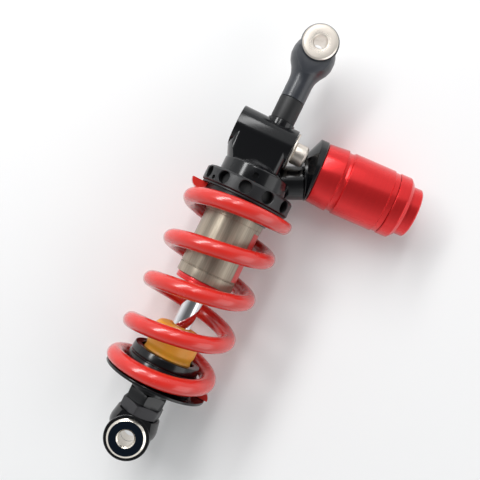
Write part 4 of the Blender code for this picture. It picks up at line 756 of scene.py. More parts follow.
def coil_tree():
    """Round wire along a helix whose pitch opens from its closed ends, ground flat at both ends."""
    tree, given, out, calc = new_geometry_tree("coil_of_wire", (
        ("From Turn", "NodeSocketFloat", 0.0), ("To Turn", "NodeSocketFloat", 5.55),
        ("Total Turns", "NodeSocketFloat", 5.55), ("Start Angle", "NodeSocketFloat", 0.0),
        ("Coil Radius", "NodeSocketFloat", 0.035), ("Wire Radius", "NodeSocketFloat", 0.006),
        ("Top", "NodeSocketFloat", 0.0), ("Bottom", "NodeSocketFloat", -0.144),
        ("Ground Top", "NodeSocketFloat", 0.0), ("Ground Bottom", "NodeSocketFloat", -0.144),
        ("Closed Turns", "NodeSocketFloat", 0.78), ("Blend", "NodeSocketFloat", 0.4),
        ("Closed Pitch", "NodeSocketFloat", 0.007), ("Open Pitch", "NodeSocketFloat", 0.033),
        ("Tip Rounding", "NodeSocketFloat", 0.006), ("Sections", "NodeSocketInt", 300),
        ("Wire Sides", "NodeSocketInt", 36), ("Material", "NodeSocketMaterial", None)))
    math_of = calc.math
    index = tree.nodes.new("GeometryNodeInputIndex").outputs[0]
    share = math_of("DIVIDE", index, given["Sections"])
    turn = math_of("MULTIPLY_ADD", math_of("SUBTRACT", given["To Turn"], given["From Turn"]), share, given["From Turn"])
    from_end = math_of("SUBTRACT", given["Total Turns"], turn)
    near = math_of("MINIMUM", turn, from_end)
    # share of the pitch's opening, and its sum over the turns
    opened = math_of("DIVIDE", math_of("ADD", math_of("SUBTRACT", near, given["Closed Turns"]),
                                       math_of("MULTIPLY", given["Blend"], 0.5)), given["Blend"], clamp=True)
    cube = math_of("POWER", opened, 3.0)
    ramp = math_of("MULTIPLY", given["Blend"], math_of("SUBTRACT", cube, math_of(
        "MULTIPLY", math_of("MULTIPLY", cube, opened), 0.5)))
    beyond = math_of("MAXIMUM", math_of("SUBTRACT", math_of("SUBTRACT", near, given["Closed Turns"]),
                                        math_of("MULTIPLY", given["Blend"], 0.5)), 0.0)
    drop = math_of("ADD", math_of("MULTIPLY", given["Closed Pitch"], near),
                   math_of("MULTIPLY", math_of("SUBTRACT", given["Open Pitch"], given["Closed Pitch"]),
                           math_of("ADD", ramp, beyond)))
    upper_half = math_of("LESS_THAN", turn, math_of("MULTIPLY", given["Total Turns"], 0.5))
    from_top = math_of("SUBTRACT", given["Top"], drop)
    from_bottom = math_of("ADD", given["Bottom"], drop)
    height = math_of("ADD", math_of("MULTIPLY", from_top, upper_half),
                     math_of("MULTIPLY", from_bottom, math_of("SUBTRACT", 1.0, upper_half)))
    angle = math_of("SUBTRACT", given["Start Angle"], math_of("MULTIPLY", turn, math.tau))
    place = calc.point(math_of("MULTIPLY", given["Coil Radius"], math_of("COSINE", angle)),
                       math_of("MULTIPLY", given["Coil Radius"], math_of("SINE", angle)), height)
    line = tree.nodes.new("GeometryNodeMeshLine")
    calc.feed(line.inputs["Count"], math_of("ADD", given["Sections"], 1.0))
    path = calc.node("GeometryNodeMeshToCurve", Mesh=line.outputs[0]).outputs[0]
    store = tree.nodes.new("GeometryNodeStoreNamedAttribute")
    store.data_type = "FLOAT"
    store.domain = "POINT"
    calc.feed(store.inputs["Geometry"], path)
    calc.feed(store.inputs["Name"], "turn")
    calc.feed(store.inputs["Value"], turn)
    bent = calc.node("GeometryNodeSetPosition", Geometry=store.outputs[0], Position=place).outputs[0]
    upright = tree.nodes.new("GeometryNodeSetCurveNormal")
    upright.mode = "Z_UP"
    calc.feed(upright.inputs["Curve"], bent)
    circle = calc.node("GeometryNodeCurvePrimitiveCircle", Resolution=given["Wire Sides"], Radius=given["Wire Radius"])
    # the tips are rounded over by the coating
    inward = math_of("DIVIDE", math_of("MULTIPLY", near, math_of("MULTIPLY", given["Coil Radius"], math.tau)),
                     given["Tip Rounding"], clamp=True)
    outward = math_of("SUBTRACT", 1.0, inward)
    lost = math_of("MULTIPLY", 0.85, math_of("MULTIPLY", outward, outward))
    rounded = math_of("SQRT", math_of("SUBTRACT", 1.0, lost))
    full = calc.node("GeometryNodeSetCurveRadius", Curve=upright.outputs[0], Radius=rounded).outputs[0]
    wire = tree.nodes.new("GeometryNodeCurveToMesh")
    calc.feed(wire.inputs["Curve"], full)
    calc.feed(wire.inputs["Profile Curve"], circle.outputs[0])
    calc.feed(wire.inputs["Fill Caps"], True)
    at = tree.nodes.new("ShaderNodeSeparateXYZ")
    calc.feed(at.inputs[0], tree.nodes.new("GeometryNodeInputPosition").outputs[0])
    # the grinder's edge is broken, so that the flat runs into the round wire
    broken_edge = 3.5 * MM
    ground = math_of("SMOOTH_MIN", math_of("SMOOTH_MAX", at.outputs[2], given["Ground Bottom"], broken_edge),
                     given["Ground Top"], broken_edge)
    flat = calc.node("GeometryNodeSetPosition", Geometry=wire.outputs[0],
                     Position=calc.point(at.outputs[0], at.outputs[1], ground)).outputs[0]
    end_tree(tree, flat, given["Material"], out)
    return tree


def radial_holes_tree():
    """Drills a row of holes towards the axis of a turned ring."""
    tree, given, out, calc = new_geometry_tree("radial_holes", (
        ("Holes", "NodeSocketInt", 12), ("Start Angle", "NodeSocketFloat", 0.0),
        ("Hole Radius", "NodeSocketFloat", 0.0045), ("Ring Radius", "NodeSocketFloat", 0.034),
        ("Hole Depth", "NodeSocketFloat", 0.0055), ("Height", "NodeSocketFloat", 0.0),
        ("Material", "NodeSocketMaterial", None)), takes_mesh=True)
    math_of = calc.math
    points = calc.node("GeometryNodePoints", Count=given["Holes"])
    index = tree.nodes.new("GeometryNodeInputIndex").outputs[0]
    step = math_of("DIVIDE", math.tau, given["Holes"])
    angle = math_of("ADD", given["Start Angle"], math_of("MULTIPLY", index, step))
    place = calc.point(math_of("MULTIPLY", given["Ring Radius"], math_of("COSINE", angle)),
                       math_of("MULTIPLY", given["Ring Radius"], math_of("SINE", angle)), given["Height"])
    placed = calc.node("GeometryNodeSetPosition", Geometry=points.outputs[0], Position=place).outputs[0]
    drill = calc.node("GeometryNodeMeshCylinder", Vertices=40, Radius=given["Hole Radius"],
                      Depth=math_of("MULTIPLY", given["Hole Depth"], 2.0))
    countersink = 1.1 * MM
    mouth = calc.node("GeometryNodeMeshCone", Vertices=40,
                      Radius_Top=math_of("ADD", given["Hole Radius"], countersink),
                      Radius_Bottom=given["Hole Radius"], Depth=countersink)
    raised = calc.node("GeometryNodeTransform", Geometry=mouth.outputs[0],
                       Translation=calc.point(0.0, 0.0, -0.75 * MM)).outputs[0]
    join = tree.nodes.new("GeometryNodeMeshBoolean")
    join.operation = "UNION"
    join.solver = "EXACT"
    calc.feed(join.inputs["Mesh 2"], drill.outputs[0])
    tree.links.new(raised, join.inputs["Mesh 2"])
    turn = calc.point(0.0, math.pi / 2.0, angle)
    instances = calc.node("GeometryNodeInstanceOnPoints", Points=placed, Instance=join.outputs[0], Rotation=turn)
    real = calc.node("GeometryNodeRealizeInstances", Geometry=instances.outputs[0]).outputs[0]
    cut = tree.nodes.new("GeometryNodeMeshBoolean")
    cut.operation = "DIFFERENCE"
    cut.solver = "EXACT"
    calc.feed(cut.inputs["Mesh 1"], given["Geometry"])
    calc.feed(cut.inputs["Mesh 2"], real)
    end_tree(tree, cut.outputs[0], given["Material"], out)
    return tree


# ================================================================ eyes

def bearing_bore_mesh(bore, groove, groove_in, groove_out, run_out, place):
    """Cutter for a bearing's bore with its two circlip grooves."""
    return turned_mesh("bearing_bore", [
        (0.0, -run_out), (bore, -run_out), (bore, -groove_out), (groove, -groove_out), (groove, -groove_in),
        (bore, -groove_in), (bore, groove_in), (groove, groove_in), (groove, groove_out), (bore, groove_out),
        (bore, run_out), (0.0, run_out)], SIDES, place, phase=0.013)


def mill_eye(bar, eye_height, radius, half, flat_half, bore, groove, groove_in, groove_out):
    """Mills the flats of a turned bar, adds the round eye and bores it."""
    reach = 1.0
    combine(bar, block_mesh("flats", (-reach, -flat_half, -reach), (reach, flat_half, reach)), "INTERSECT")
    at_eye = Matrix.Translation((0.0, 0.0, eye_height)) @ TO_FRONT
    combine(bar, turned_mesh("round_eye", cylinder_outline(radius, -half, half, 0.9 * MM), SIDES, at_eye), "UNION")
    combine(bar, bearing_bore_mesh(bore, groove, groove_in, groove_out, half + PAST, at_eye))


class SHOCK_OT_upper_eye(bpy.types.Operator):
    """Upper eye with its long shank, and the sleeve over its thread"""

    bl_idname = "shock.upper_eye"
    bl_label = "Upper Eye"

    def execute(self, context):
        stud_end = span("upper_eye", "Z")[0]
        sleeve_end, sleeve_top = span("shank_sleeve", "Z")
        shank_end = sleeve_top + GAP
        shank = half_width("shank_sleeve")
        shoulder = half_width("upper_eye")
        outline = [
            (0.0, 2.0 * MM), (shoulder - 3.4 * MM, 2.0 * MM, 2.0 * MM), (shoulder - 0.9 * MM, -3.0 * MM, 8.0 * MM),
            (shoulder, -7.0 * MM, 8.0 * MM), (shoulder, -12.5 * MM, 9.0 * MM),
            (shoulder - 1.6 * MM, -17.0 * MM, 9.0 * MM),
            (shank + 2.4 * MM, -21.5 * MM, 12.0 * MM), (shank + 0.6 * MM, -25.5 * MM, 20.0 * MM),
            (shank, -29.5 * MM, 30.0 * MM), (shank, shank_end, 0.4 * MM), (7.0 * MM, shank_end),
            (7.0 * MM, stud_end, 0.5 * MM), (0.0, stud_end),
        ]
        bar = object_of(turned_mesh("upper_eye_shank", outline))
        mill_eye(bar, 0.0, radius=14.0 * MM, half=11.0 * MM, flat_half=10.4 * MM, bore=11.3 * MM,
                 groove=12.3 * MM, groove_in=4.15 * MM, groove_out=5.95 * MM)
        finish_piece(bar, finish_of("shank"), "damper_body", "gunmetal", "upper_eye")
        turned_piece("shank_thread_sleeve", ring_outline(7.3 * MM, shank, sleeve_end, sleeve_top, 0.35 * MM),
                     finish_of("sleeve_black"), "damper_body", "black_anodised", "shank_sleeve")
        return {"FINISHED"}


class SHOCK_OT_lower_eye(bpy.types.Operator):
    """Lower eye with its milled flats and threaded neck"""

    bl_idname = "shock.lower_eye"
    bl_label = "Lower Eye"

    def execute(self, context):
        centre = -sizes().bolt_spacing
        neck_top = span("lower_eye", "Z")[1]
        top = span("rebound_ring", "Z")[0] - GAP
        shoulder = half_width("lower_eye")
        outline = [
            (0.0, centre - 1.0 * MM), (shoulder - 3.0 * MM, centre - 1.0 * MM), (shoulder, centre + 5.0 * MM, 8.0 * MM),
            (shoulder, centre + 9.0 * MM, 8.0 * MM), (16.4 * MM, top, 0.8 * MM), (10.5 * MM, top),
            (10.5 * MM, neck_top, 0.5 * MM), (0.0, neck_top),
        ]
        bar = object_of(turned_mesh("lower_eye_forging", outline))
        mill_eye(bar, centre, radius=16.8 * MM, half=12.4 * MM, flat_half=11.8 * MM, bore=13.5 * MM,
                 groove=14.5 * MM, groove_in=5.16 * MM, groove_out=6.96 * MM)
        shaft_end = span("shaft", "Z")[0]
        combine(bar, turned_mesh("shaft_socket", cylinder_outline(7.3 * MM, shaft_end - 1.2 * MM, neck_top + PAST),
                                 SMALL_SIDES))
        finish_piece(bar, finish_of("eye_black"), "damper_rod", "black_anodised", "lower_eye")
        return {"FINISHED"}


def paint_faces(piece, material, test):
    """Gives the faces that pass a test on their centre and normal a second material."""
    piece.data.materials.append(material)
    for face in piece.data.polygons:
        if test(face.center, face.normal):
            face.material_index = 1


class SHOCK_OT_bearings(bpy.types.Operator):
    """Spherical bearings: races, balls, circlips and top-hat spacers of both eyes"""

    bl_idname = "shock.bearings"
    bl_label = "Spherical Bearings"

    def execute(self, context):
        for prefix, centre, bolt, eye_body in (("upper", 0.0, sizes().upper_bolt, "damper_body"),
                                               ("lower", -sizes().bolt_spacing, sizes().lower_bolt, "damper_rod")):
            swivel = f"{prefix}_swivel"
            ball = half_width(f"{prefix}_bearing_ball")
            ball_half = half_width(f"{prefix}_bearing_ball", "Y")
            race = half_width(f"{prefix}_bearing_race")
            race_half = half_width(f"{prefix}_bearing_race", "Y")
            flange = half_width(f"{prefix}_spacer_front")
            near, far = sorted(abs(value) for value in span(f"{prefix}_spacer_front", "Y"))
            sleeve = bolt + (1.0 if prefix == "upper" else 1.1) * MM
            shoulder = sleeve + 2.0 * MM
            face = far - 1.7 * MM
            at_eye = Matrix.Translation((0.0, 0.0, centre))

            arc = math.asin(race_half / (ball + GAP))
            inner = [((ball + GAP) * math.cos(arc * step / 8.0), (ball + GAP) * math.sin(arc * step / 8.0))
                     for step in range(-8, 9)]
            turned_piece(f"{prefix}_race", inner + [(race, race_half, 0.4 * MM), (race, -race_half, 0.4 * MM)],
                         finish_of("steel"), eye_body, "steel", f"{prefix}_bearing_race", place=at_eye @ TO_FRONT)
            arc = math.asin(ball_half / ball)
            bulge = [(ball * math.cos(arc * step / 10.0), ball * math.sin(arc * step / 10.0))
                     for step in range(-10, 11)]
            turned_piece(f"{prefix}_ball", bulge + [(sleeve + GAP, ball_half), (sleeve + GAP, -ball_half)],
                         finish_of("chrome"), swivel, "chrome", f"{prefix}_bearing_ball", place=at_eye @ TO_FRONT)

            edge = 1.1 * MM if prefix == "upper" else 1.5 * MM
            mouth = 0.5 * MM if prefix == "upper" else 0.9 * MM
            spacer = [
                (bolt, near), (sleeve, near, 0.2 * MM), (sleeve, ball_half + GAP), (shoulder, ball_half + GAP),
                (shoulder, face), (flange, face, 0.2 * MM), (flange, far - edge * 0.75, 0.15 * MM),
                (flange - edge, far, 0.12 * MM), (bolt + mouth, far, 0.08 * MM), (bolt, far - mouth),
            ]
            circlip_in, circlip_out = sorted(abs(value) for value in span(f"{prefix}_circlip_front", "Y"))
            groove = half_width(f"{prefix}_circlip_front", "Z")
            clip = ring_outline(race - 2.0 * MM, groove, circlip_in, circlip_out, 0.15 * MM)
            for side, turn in (("front", TO_FRONT), ("back", TO_BACK)):
                piece = turned_piece(f"{prefix}_top_hat_{side}", spacer,
                                     finish_of("spacer" if prefix == "upper" else "blued"), swivel,
                                     "bright_aluminium" if prefix == "upper" else "blued_steel",
                                     f"{prefix}_spacer_{side}", place=at_eye @ turn)
                if prefix == "lower":
                    paint_faces(piece, finish_of("bright"), lambda place, normal: abs(normal.y) < 0.98)
                circlip = object_of(turned_mesh(f"{prefix}_snap_ring_{side}", clip, SIDES, at_eye @ turn))
                combine(circlip, block_mesh("gap", (0.0, -0.05, centre - 2.5 * MM), (0.05, 0.05, centre + 2.5 * MM)))
                finish_piece(circlip, finish_of("steel"), eye_body, "steel", f"{prefix}_circlip_{side}")
        return {"FINISHED"}


# ================================================================ head and compression adjuster

def arm_place():
    """Frame at the end of the arm: its Z runs along the arm, away from the neck."""
    slope = sizes().arm_slope
    start = Vector((10.0 * MM, 17.0 * MM, -104.5 * MM))
    lowest = reservoir_place() @ Vector((sizes().reservoir - ELBOW_STEP, 0.0, -1.2 * MM))
    along = (lowest - start).dot(Vector((math.cos(slope), 0.0, math.sin(slope)))) - 0.6 * MM
    return (Matrix.Translation(start) @ Matrix.Rotation(math.radians(90.0) - slope, 4, "Y")
            @ Matrix.Translation((0.0, 0.0, along))), along


def thread_outline(crest, root, start, end, pitch):
    """Zigzag of a screw thread along a bar, from start down to end."""
    points = []
    turns = int((start - end) / pitch)
    for turn in range(turns):
        top = start - turn * pitch
        points += [(crest, top - 0.10 * pitch), (crest, top - 0.25 * pitch), (root, top - 0.60 * pitch),
                   (root, top - 0.75 * pitch)]
    return points


def barrel_right():
    """Right end of the barrel: the valve flange and two gaps lie between it and the knob."""
    return span("compression_knob", "X")[0] - sizes().valve_flange - 2.0 * GAP


class SHOCK_OT_head(bpy.types.Operator):
    """Machined head: valve barrel, boss, neck with its threaded skirt, arm and end plug"""

    bl_idname = "shock.head"
    bl_label = "Head"

    def execute(self, context):
        black = finish_of("head_black")
        barrel = sizes().barrel
        left = span("head", "X")[0]
        skirt_end, boss_top = span("head", "Z")
        boss_rise, ledge_drop, lip = 0.9 * MM, 23.4 * MM, 1.2 * MM
        axis_z = boss_top - barrel - boss_rise
        right = barrel_right()
        neck_top = axis_z - ledge_drop
        ring_top = span("preload_ring", "Z")[1] + GAP
        skirt = sizes().skirt
        neck = skirt + lip
        at_barrel = Matrix.Translation((0.0, 0.0, axis_z)) @ TO_RIGHT

        head = object_of(turned_mesh("head_casting", cylinder_outline(barrel, left, right, 0.5 * MM), SIDES, at_barrel))
        flare = -left + 0.3 * MM
        saddle = object_of(turned_mesh("saddle", [
            (0.0, neck_top - 1.0 * MM), (neck - 0.4 * MM, neck_top - 1.0 * MM),
            (neck - 0.4 * MM, neck_top + 0.4 * MM, 1.0 * MM),
            (flare, neck_top + 9.0 * MM, 14.0 * MM), (flare, axis_z), (0.0, axis_z)]))
        half = 15.2 * MM
        combine(saddle, block_mesh("sides", (left + 0.7 * MM, -half, neck_top - 0.02), (right - 0.4 * MM, half, 0.0),
                                   7.0 * MM), "INTERSECT")
        combine(head, saddle.data.copy(), "UNION")
        bpy.data.objects.remove(saddle, do_unlink=True)
        combine(head, turned_mesh("boss", cylinder_outline(10.4 * MM, axis_z, boss_top, 0.35 * MM)), "UNION")
        thread = thread_outline(crest=skirt, root=skirt - 0.75 * MM, start=ring_top - 1.2 * MM,
                                end=skirt_end + 0.6 * MM, pitch=1.5 * MM)
        combine(head, turned_mesh("neck", [
            (0.0, neck_top + 5.0 * MM), (neck - 9.5 * MM, neck_top + 5.0 * MM, 3.0 * MM),
            (neck - 6.5 * MM, neck_top + 1.2 * MM, 4.0 * MM), (neck - 1.2 * MM, neck_top + 0.2 * MM, 1.5 * MM),
            (neck, neck_top - 0.9 * MM, 1.2 * MM), (neck, ring_top, 0.3 * MM), (skirt - 0.8 * MM, ring_top)]
            + thread + [(skirt - 0.8 * MM, skirt_end), (0.0, skirt_end)]), "UNION")

        end_of_arm, along = arm_place()
        arm = object_of(turned_mesh("arm", cylinder_outline(12.9 * MM, -along, 0.0, 0.35 * MM), SIDES, end_of_arm))
        combine(arm, block_mesh("under", (-0.5, -0.5, ring_top + 0.4 * MM), (0.5, 0.5, 0.0)), "INTERSECT")
        combine(head, arm.data.copy(), "UNION")
        bpy.data.objects.remove(arm, do_unlink=True)

        tube_top = span("damper_tube", "Z")[1]
        seat = half_width("damper_tube") + GAP
        bore = sizes().tube_bore
        # above the bore is a narrower room, which clears the piston nut at full stroke
        room_end = neck_top - 1.5 * MM
        nut_room, room_top = 11.0 * MM, room_end + 8.0 * MM
        combine(head, turned_mesh("bore", [
            (0.0, room_top), (nut_room, room_top), (nut_room, room_end), (bore, room_end),
            (bore, tube_top + GAP), (seat, tube_top + GAP),
            (seat, skirt_end - PAST), (0.0, skirt_end - PAST)], SIDES, phase=0.011))
        combine(head, turned_mesh("stud_hole", cylinder_outline(7.3 * MM, boss_top - 7.9 * MM, boss_top + PAST),
                                  SMALL_SIDES, phase=0.02))
        combine(head, turned_mesh("valve_hole", cylinder_outline(6.9 * MM, right - 24.0 * MM, right + PAST),
                                  SMALL_SIDES, at_barrel, phase=0.02))
        combine(head, turned_mesh("plug_hole", cylinder_outline(10.8 * MM, left - PAST, left + 8.0 * MM),
                                  SMALL_SIDES, at_barrel, phase=0.02))
        port = radial_place(math.radians(-88.0), (neck_top + ring_top) / 2.0 - 1.0 * MM)
        combine(head, turned_mesh("port", [
            (0.0, neck - 3.0 * MM), (1.9 * MM, neck - 3.0 * MM), (1.9 * MM, neck - 0.5 * MM),
            (2.5 * MM, neck + 0.1 * MM),
            (2.5 * MM, neck + PAST), (0.0, neck + PAST)], SMALL_SIDES, port))
        finish_piece(head, black, "damper_body", "black_anodised", "head")

        plug_place = Matrix.Translation((left, 0.0, axis_z)) @ TO_LEFT
        plug = object_of(turned_mesh("barrel_end_plug", cylinder_outline(10.5 * MM, -7.0 * MM, -0.3 * MM, 0.6 * MM),
                                     SIDES, plug_place))
        combine(plug, turned_mesh("socket", cylinder_outline(hex_radius(8.0 * MM), -4.0 * MM, PAST), 6, plug_place))
        finish_piece(plug, black, "damper_body", "black_anodised", "head_end_plug")
        return {"FINISHED"}


class SHOCK_OT_compression_adjuster(bpy.types.Operator):
    """Compression valve cartridge in the barrel, and its knob"""

    bl_idname = "shock.compression_adjuster"
    bl_label = "Compression Adjuster"

    def execute(self, context):
        start, stub_end = span("compression_valve_body", "X")
        right = barrel_right()
        axis_z = sum(span("compression_knob", "Z")) / 2.0
        place = Matrix.Translation((right, 0.0, axis_z)) @ TO_RIGHT
        flange = half_width("compression_valve_body", "Z")
        flange_top = sizes().valve_flange + GAP
        depth = right - start
        turned_piece("compression_cartridge", [
            (2.3 * MM, -depth), (6.6 * MM, -depth, 0.4 * MM), (6.6 * MM, GAP), (flange - 0.5 * MM, GAP, 0.1 * MM),
            (flange, 0.7 * MM, 0.1 * MM), (flange, flange_top, 0.25 * MM), (9.4 * MM, flange_top),
            (9.0 * MM, flange_top - 0.3 * MM),
            (8.6 * MM, flange_top), (5.0 * MM, flange_top), (5.0 * MM, stub_end - right, 0.2 * MM),
            (2.3 * MM, stub_end - right)],
            finish_of("knob"), "damper_body", "steel", "compression_valve_body", place=place)
        low, high = span("compression_knob", "X")
        low, high = low - right, high - right
        radius = half_width("compression_knob", "Z")
        room = stub_end - right + GAP
        pocket = high - 1.0 * MM
        knob = object_of(turned_mesh("compression_dial", [
            (0.0, pocket), (2.3 * MM, pocket), (2.3 * MM, room), (5.3 * MM, room), (5.3 * MM, low),
            (radius - 0.5 * MM, low, 0.1 * MM),
            (radius, low + 0.5 * MM, 0.1 * MM), (radius, high - 1.5 * MM, 0.2 * MM),
            (radius - 1.5 * MM, high, 0.2 * MM),
            (3.0 * MM, high, 0.1 * MM), (2.4 * MM, high - 0.4 * MM), (0.0, high - 0.4 * MM)], SIDES, place))
        finish_piece(knob, finish_of("knob"), "compression_knob", "bright_aluminium", "compression_knob")
        return {"FINISHED"}


# ================================================================ reservoir

def wrapped_mesh(name, circles):
    """Convex body around circles, each with its frame, its place along it, its tilt and its radius."""
    bm = bmesh.new()
    for place, along, tilt, radius in circles:
        for side in range(SIDES):
            angle = math.tau * side / SIDES
            bm.verts.new(place @ Vector((radius * math.cos(angle), radius * math.sin(angle),
                                         along + tilt * math.cos(angle))))
    hull = bmesh.ops.convex_hull(bm, input=bm.verts)
    inside = {item for item in hull["geom_interior"] if isinstance(item, bmesh.types.BMVert)}
    bmesh.ops.delete(bm, geom=list(inside), context="VERTS")
    bmesh.ops.recalc_face_normals(bm, faces=bm.faces)
    return keep_mesh(name, bm)


class SHOCK_OT_reservoir_elbow(bpy.types.Operator):
    """Cone from the round arm to the reservoir's flange, with its spigot"""

    bl_idname = "shock.reservoir_elbow"
    bl_label = "Reservoir Elbow"

    def execute(self, context):
        reservoir = reservoir_place()
        arm, _ = arm_place()
        flange = sizes().reservoir - ELBOW_STEP
        collar = sizes().collar
        offset = arm @ Matrix.Translation((12.9 * MM - collar, 0.0, 0.0))
        end, tilt = 2.1 * MM, -1.5 * MM
        elbow = object_of(wrapped_mesh("reservoir_elbow_casting", (
            (offset, end, tilt, collar),
            (reservoir, -4.1 * MM, 2.9 * MM, flange - 0.25 * MM), (reservoir, -3.9 * MM, 2.8 * MM, flange),
            (reservoir, -0.9 * MM, 0.0, flange), (reservoir, -0.3 * MM, 0.0, flange - 0.6 * MM))))
        combine(elbow, wrapped_mesh("collar", (
            (offset, 0.3 * MM, 0.0, collar - 0.5 * MM), (offset, 0.4 * MM, 0.0, collar - 0.2 * MM),
            (offset, 0.7 * MM, 0.0, collar - 0.03 * MM), (offset, end + 0.7 * MM, tilt, collar - 0.02 * MM))), "UNION")
        knob = half_width("compression_knob", "Z")
        relief = Matrix.Translation((0.0, 0.0, sum(span("compression_knob", "Z")) / 2.0)) @ TO_RIGHT
        combine(elbow, turned_mesh("relief", cylinder_outline(
            knob + 1.0 * MM, barrel_right(), span("compression_knob", "X")[1] + 1.0 * MM), SIDES, relief, phase=0.01))
        inner = 20.0 * MM
        combine(elbow, turned_mesh("spigot", [
            (0.0, -0.8 * MM), (inner, -0.8 * MM), (inner, 3.0 * MM), (18.6 * MM, 3.0 * MM), (18.6 * MM, 5.6 * MM),
            (inner, 5.6 * MM), (inner, 8.0 * MM), (0.0, 8.0 * MM)], SIDES, reservoir), "UNION")
        finish_piece(elbow, finish_of("head_black"), "damper_body", "black_anodised", "reservoir_elbow",
                     sharp=math.radians(24.0))
        return {"FINISHED"}


class SHOCK_OT_reservoir(bpy.types.Operator):
    """Red reservoir with its two grooves, end cap, gas valve and valve cap"""

    bl_idname = "shock.reservoir"
    bl_label = "Reservoir"

    def execute(self, context):
        place = reservoir_place()
        red = finish_of("reservoir_red")
        outer = sizes().reservoir
        bore = 20.3 * MM
        turned_piece("reservoir_body", [
            (bore, 0.0), (outer - 1.6 * MM, 0.0, 0.1 * MM), (outer - 1.1 * MM, 0.6 * MM, 0.1 * MM),
            (outer + 0.2 * MM, 15.8 * MM, 0.3 * MM), (outer - 1.0 * MM, 16.5 * MM, 0.25 * MM),
            (outer - 1.35 * MM, 18.6 * MM, 1.5 * MM), (outer - 1.0 * MM, 20.5 * MM, 0.25 * MM),
            (outer, 21.2 * MM, 0.3 * MM), (outer, 53.4 * MM, 0.3 * MM), (outer - 0.8 * MM, 54.1 * MM, 0.25 * MM),
            (outer - 1.0 * MM, 57.8 * MM, 0.1 * MM), (bore, 57.8 * MM)],
            red, "damper_body", "red_anodised", "reservoir_tube", place=place)
        start = 58.1 * MM
        band_end = start + 8.6 * MM
        step = band_end + 3.0 * MM
        step_end = step + 8.5 * MM
        cap_outer = outer - 0.2 * MM
        cap = object_of(turned_mesh("reservoir_cap", [
            (0.0, start), (16.5 * MM, start), (16.5 * MM, start - 9.0 * MM), (20.0 * MM, start - 9.0 * MM, 0.5 * MM),
            (20.0 * MM, start - 6.4 * MM), (18.6 * MM, start - 6.4 * MM), (18.6 * MM, start - 3.8 * MM),
            (20.0 * MM, start - 3.8 * MM),
            (20.0 * MM, start), (cap_outer - 0.6 * MM, start, 0.1 * MM), (cap_outer, start + 0.6 * MM, 0.2 * MM),
            (cap_outer, band_end, 1.2 * MM), (21.2 * MM, step, 0.5 * MM), (19.0 * MM, step, 0.3 * MM),
            (19.0 * MM, step_end - 1.0 * MM, 0.3 * MM), (18.0 * MM, step_end, 0.3 * MM),
            (11.0 * MM, step_end, 0.3 * MM),
            (11.0 * MM, step + 1.0 * MM, 0.4 * MM), (0.0, step + 1.0 * MM)], SIDES, place))
        combine(cap, turned_mesh("valve_hole", cylinder_outline(3.9 * MM, start - PAST, step + 1.0 * MM + PAST),
                                 SMALL_SIDES, place, phase=0.02))
        finish_piece(cap, red, "damper_body", "red_anodised", "reservoir_end_cap")

        floor = step + 1.0 * MM
        top = step_end - 2.0 * MM
        neck = 2.8 * MM
        thread = thread_outline(crest=neck, root=neck - 0.35 * MM, start=top - 1.6 * MM, end=floor + 1.5 * MM,
                                pitch=0.7 * MM)[::-1]
        turned_piece("gas_valve_stem", [
            (0.9 * MM, start + 0.8 * MM), (3.6 * MM, start + 0.8 * MM), (3.6 * MM, floor + GAP),
            (4.6 * MM, floor + GAP, 0.1 * MM),
            (4.6 * MM, floor + 1.3 * MM, 0.2 * MM), (neck - 0.35 * MM, floor + 1.3 * MM)] + thread
            + [(0.9 * MM, top - 1.5 * MM)], finish_of("bronze"), "damper_body", "brass", "gas_valve",
            place=place, sides=SMALL_SIDES)
        turned_piece("gas_valve_dust_cap", [
            (0.0, top - 1.2 * MM), (neck + GAP, top - 1.2 * MM), (neck + GAP, floor + 2.0 * MM),
            (neck + 1.4 * MM, floor + 2.0 * MM, 0.2 * MM), (neck + 1.4 * MM, top, 0.5 * MM),
            (neck, top + 0.6 * MM, 0.4 * MM),
            (0.0, top + 0.6 * MM)], finish_of("rubber"), "damper_body", "rubber", "gas_valve_cap",
            place=place, sides=SMALL_SIDES)
        return {"FINISHED"}


# ================================================================ preload ring, seat and spring

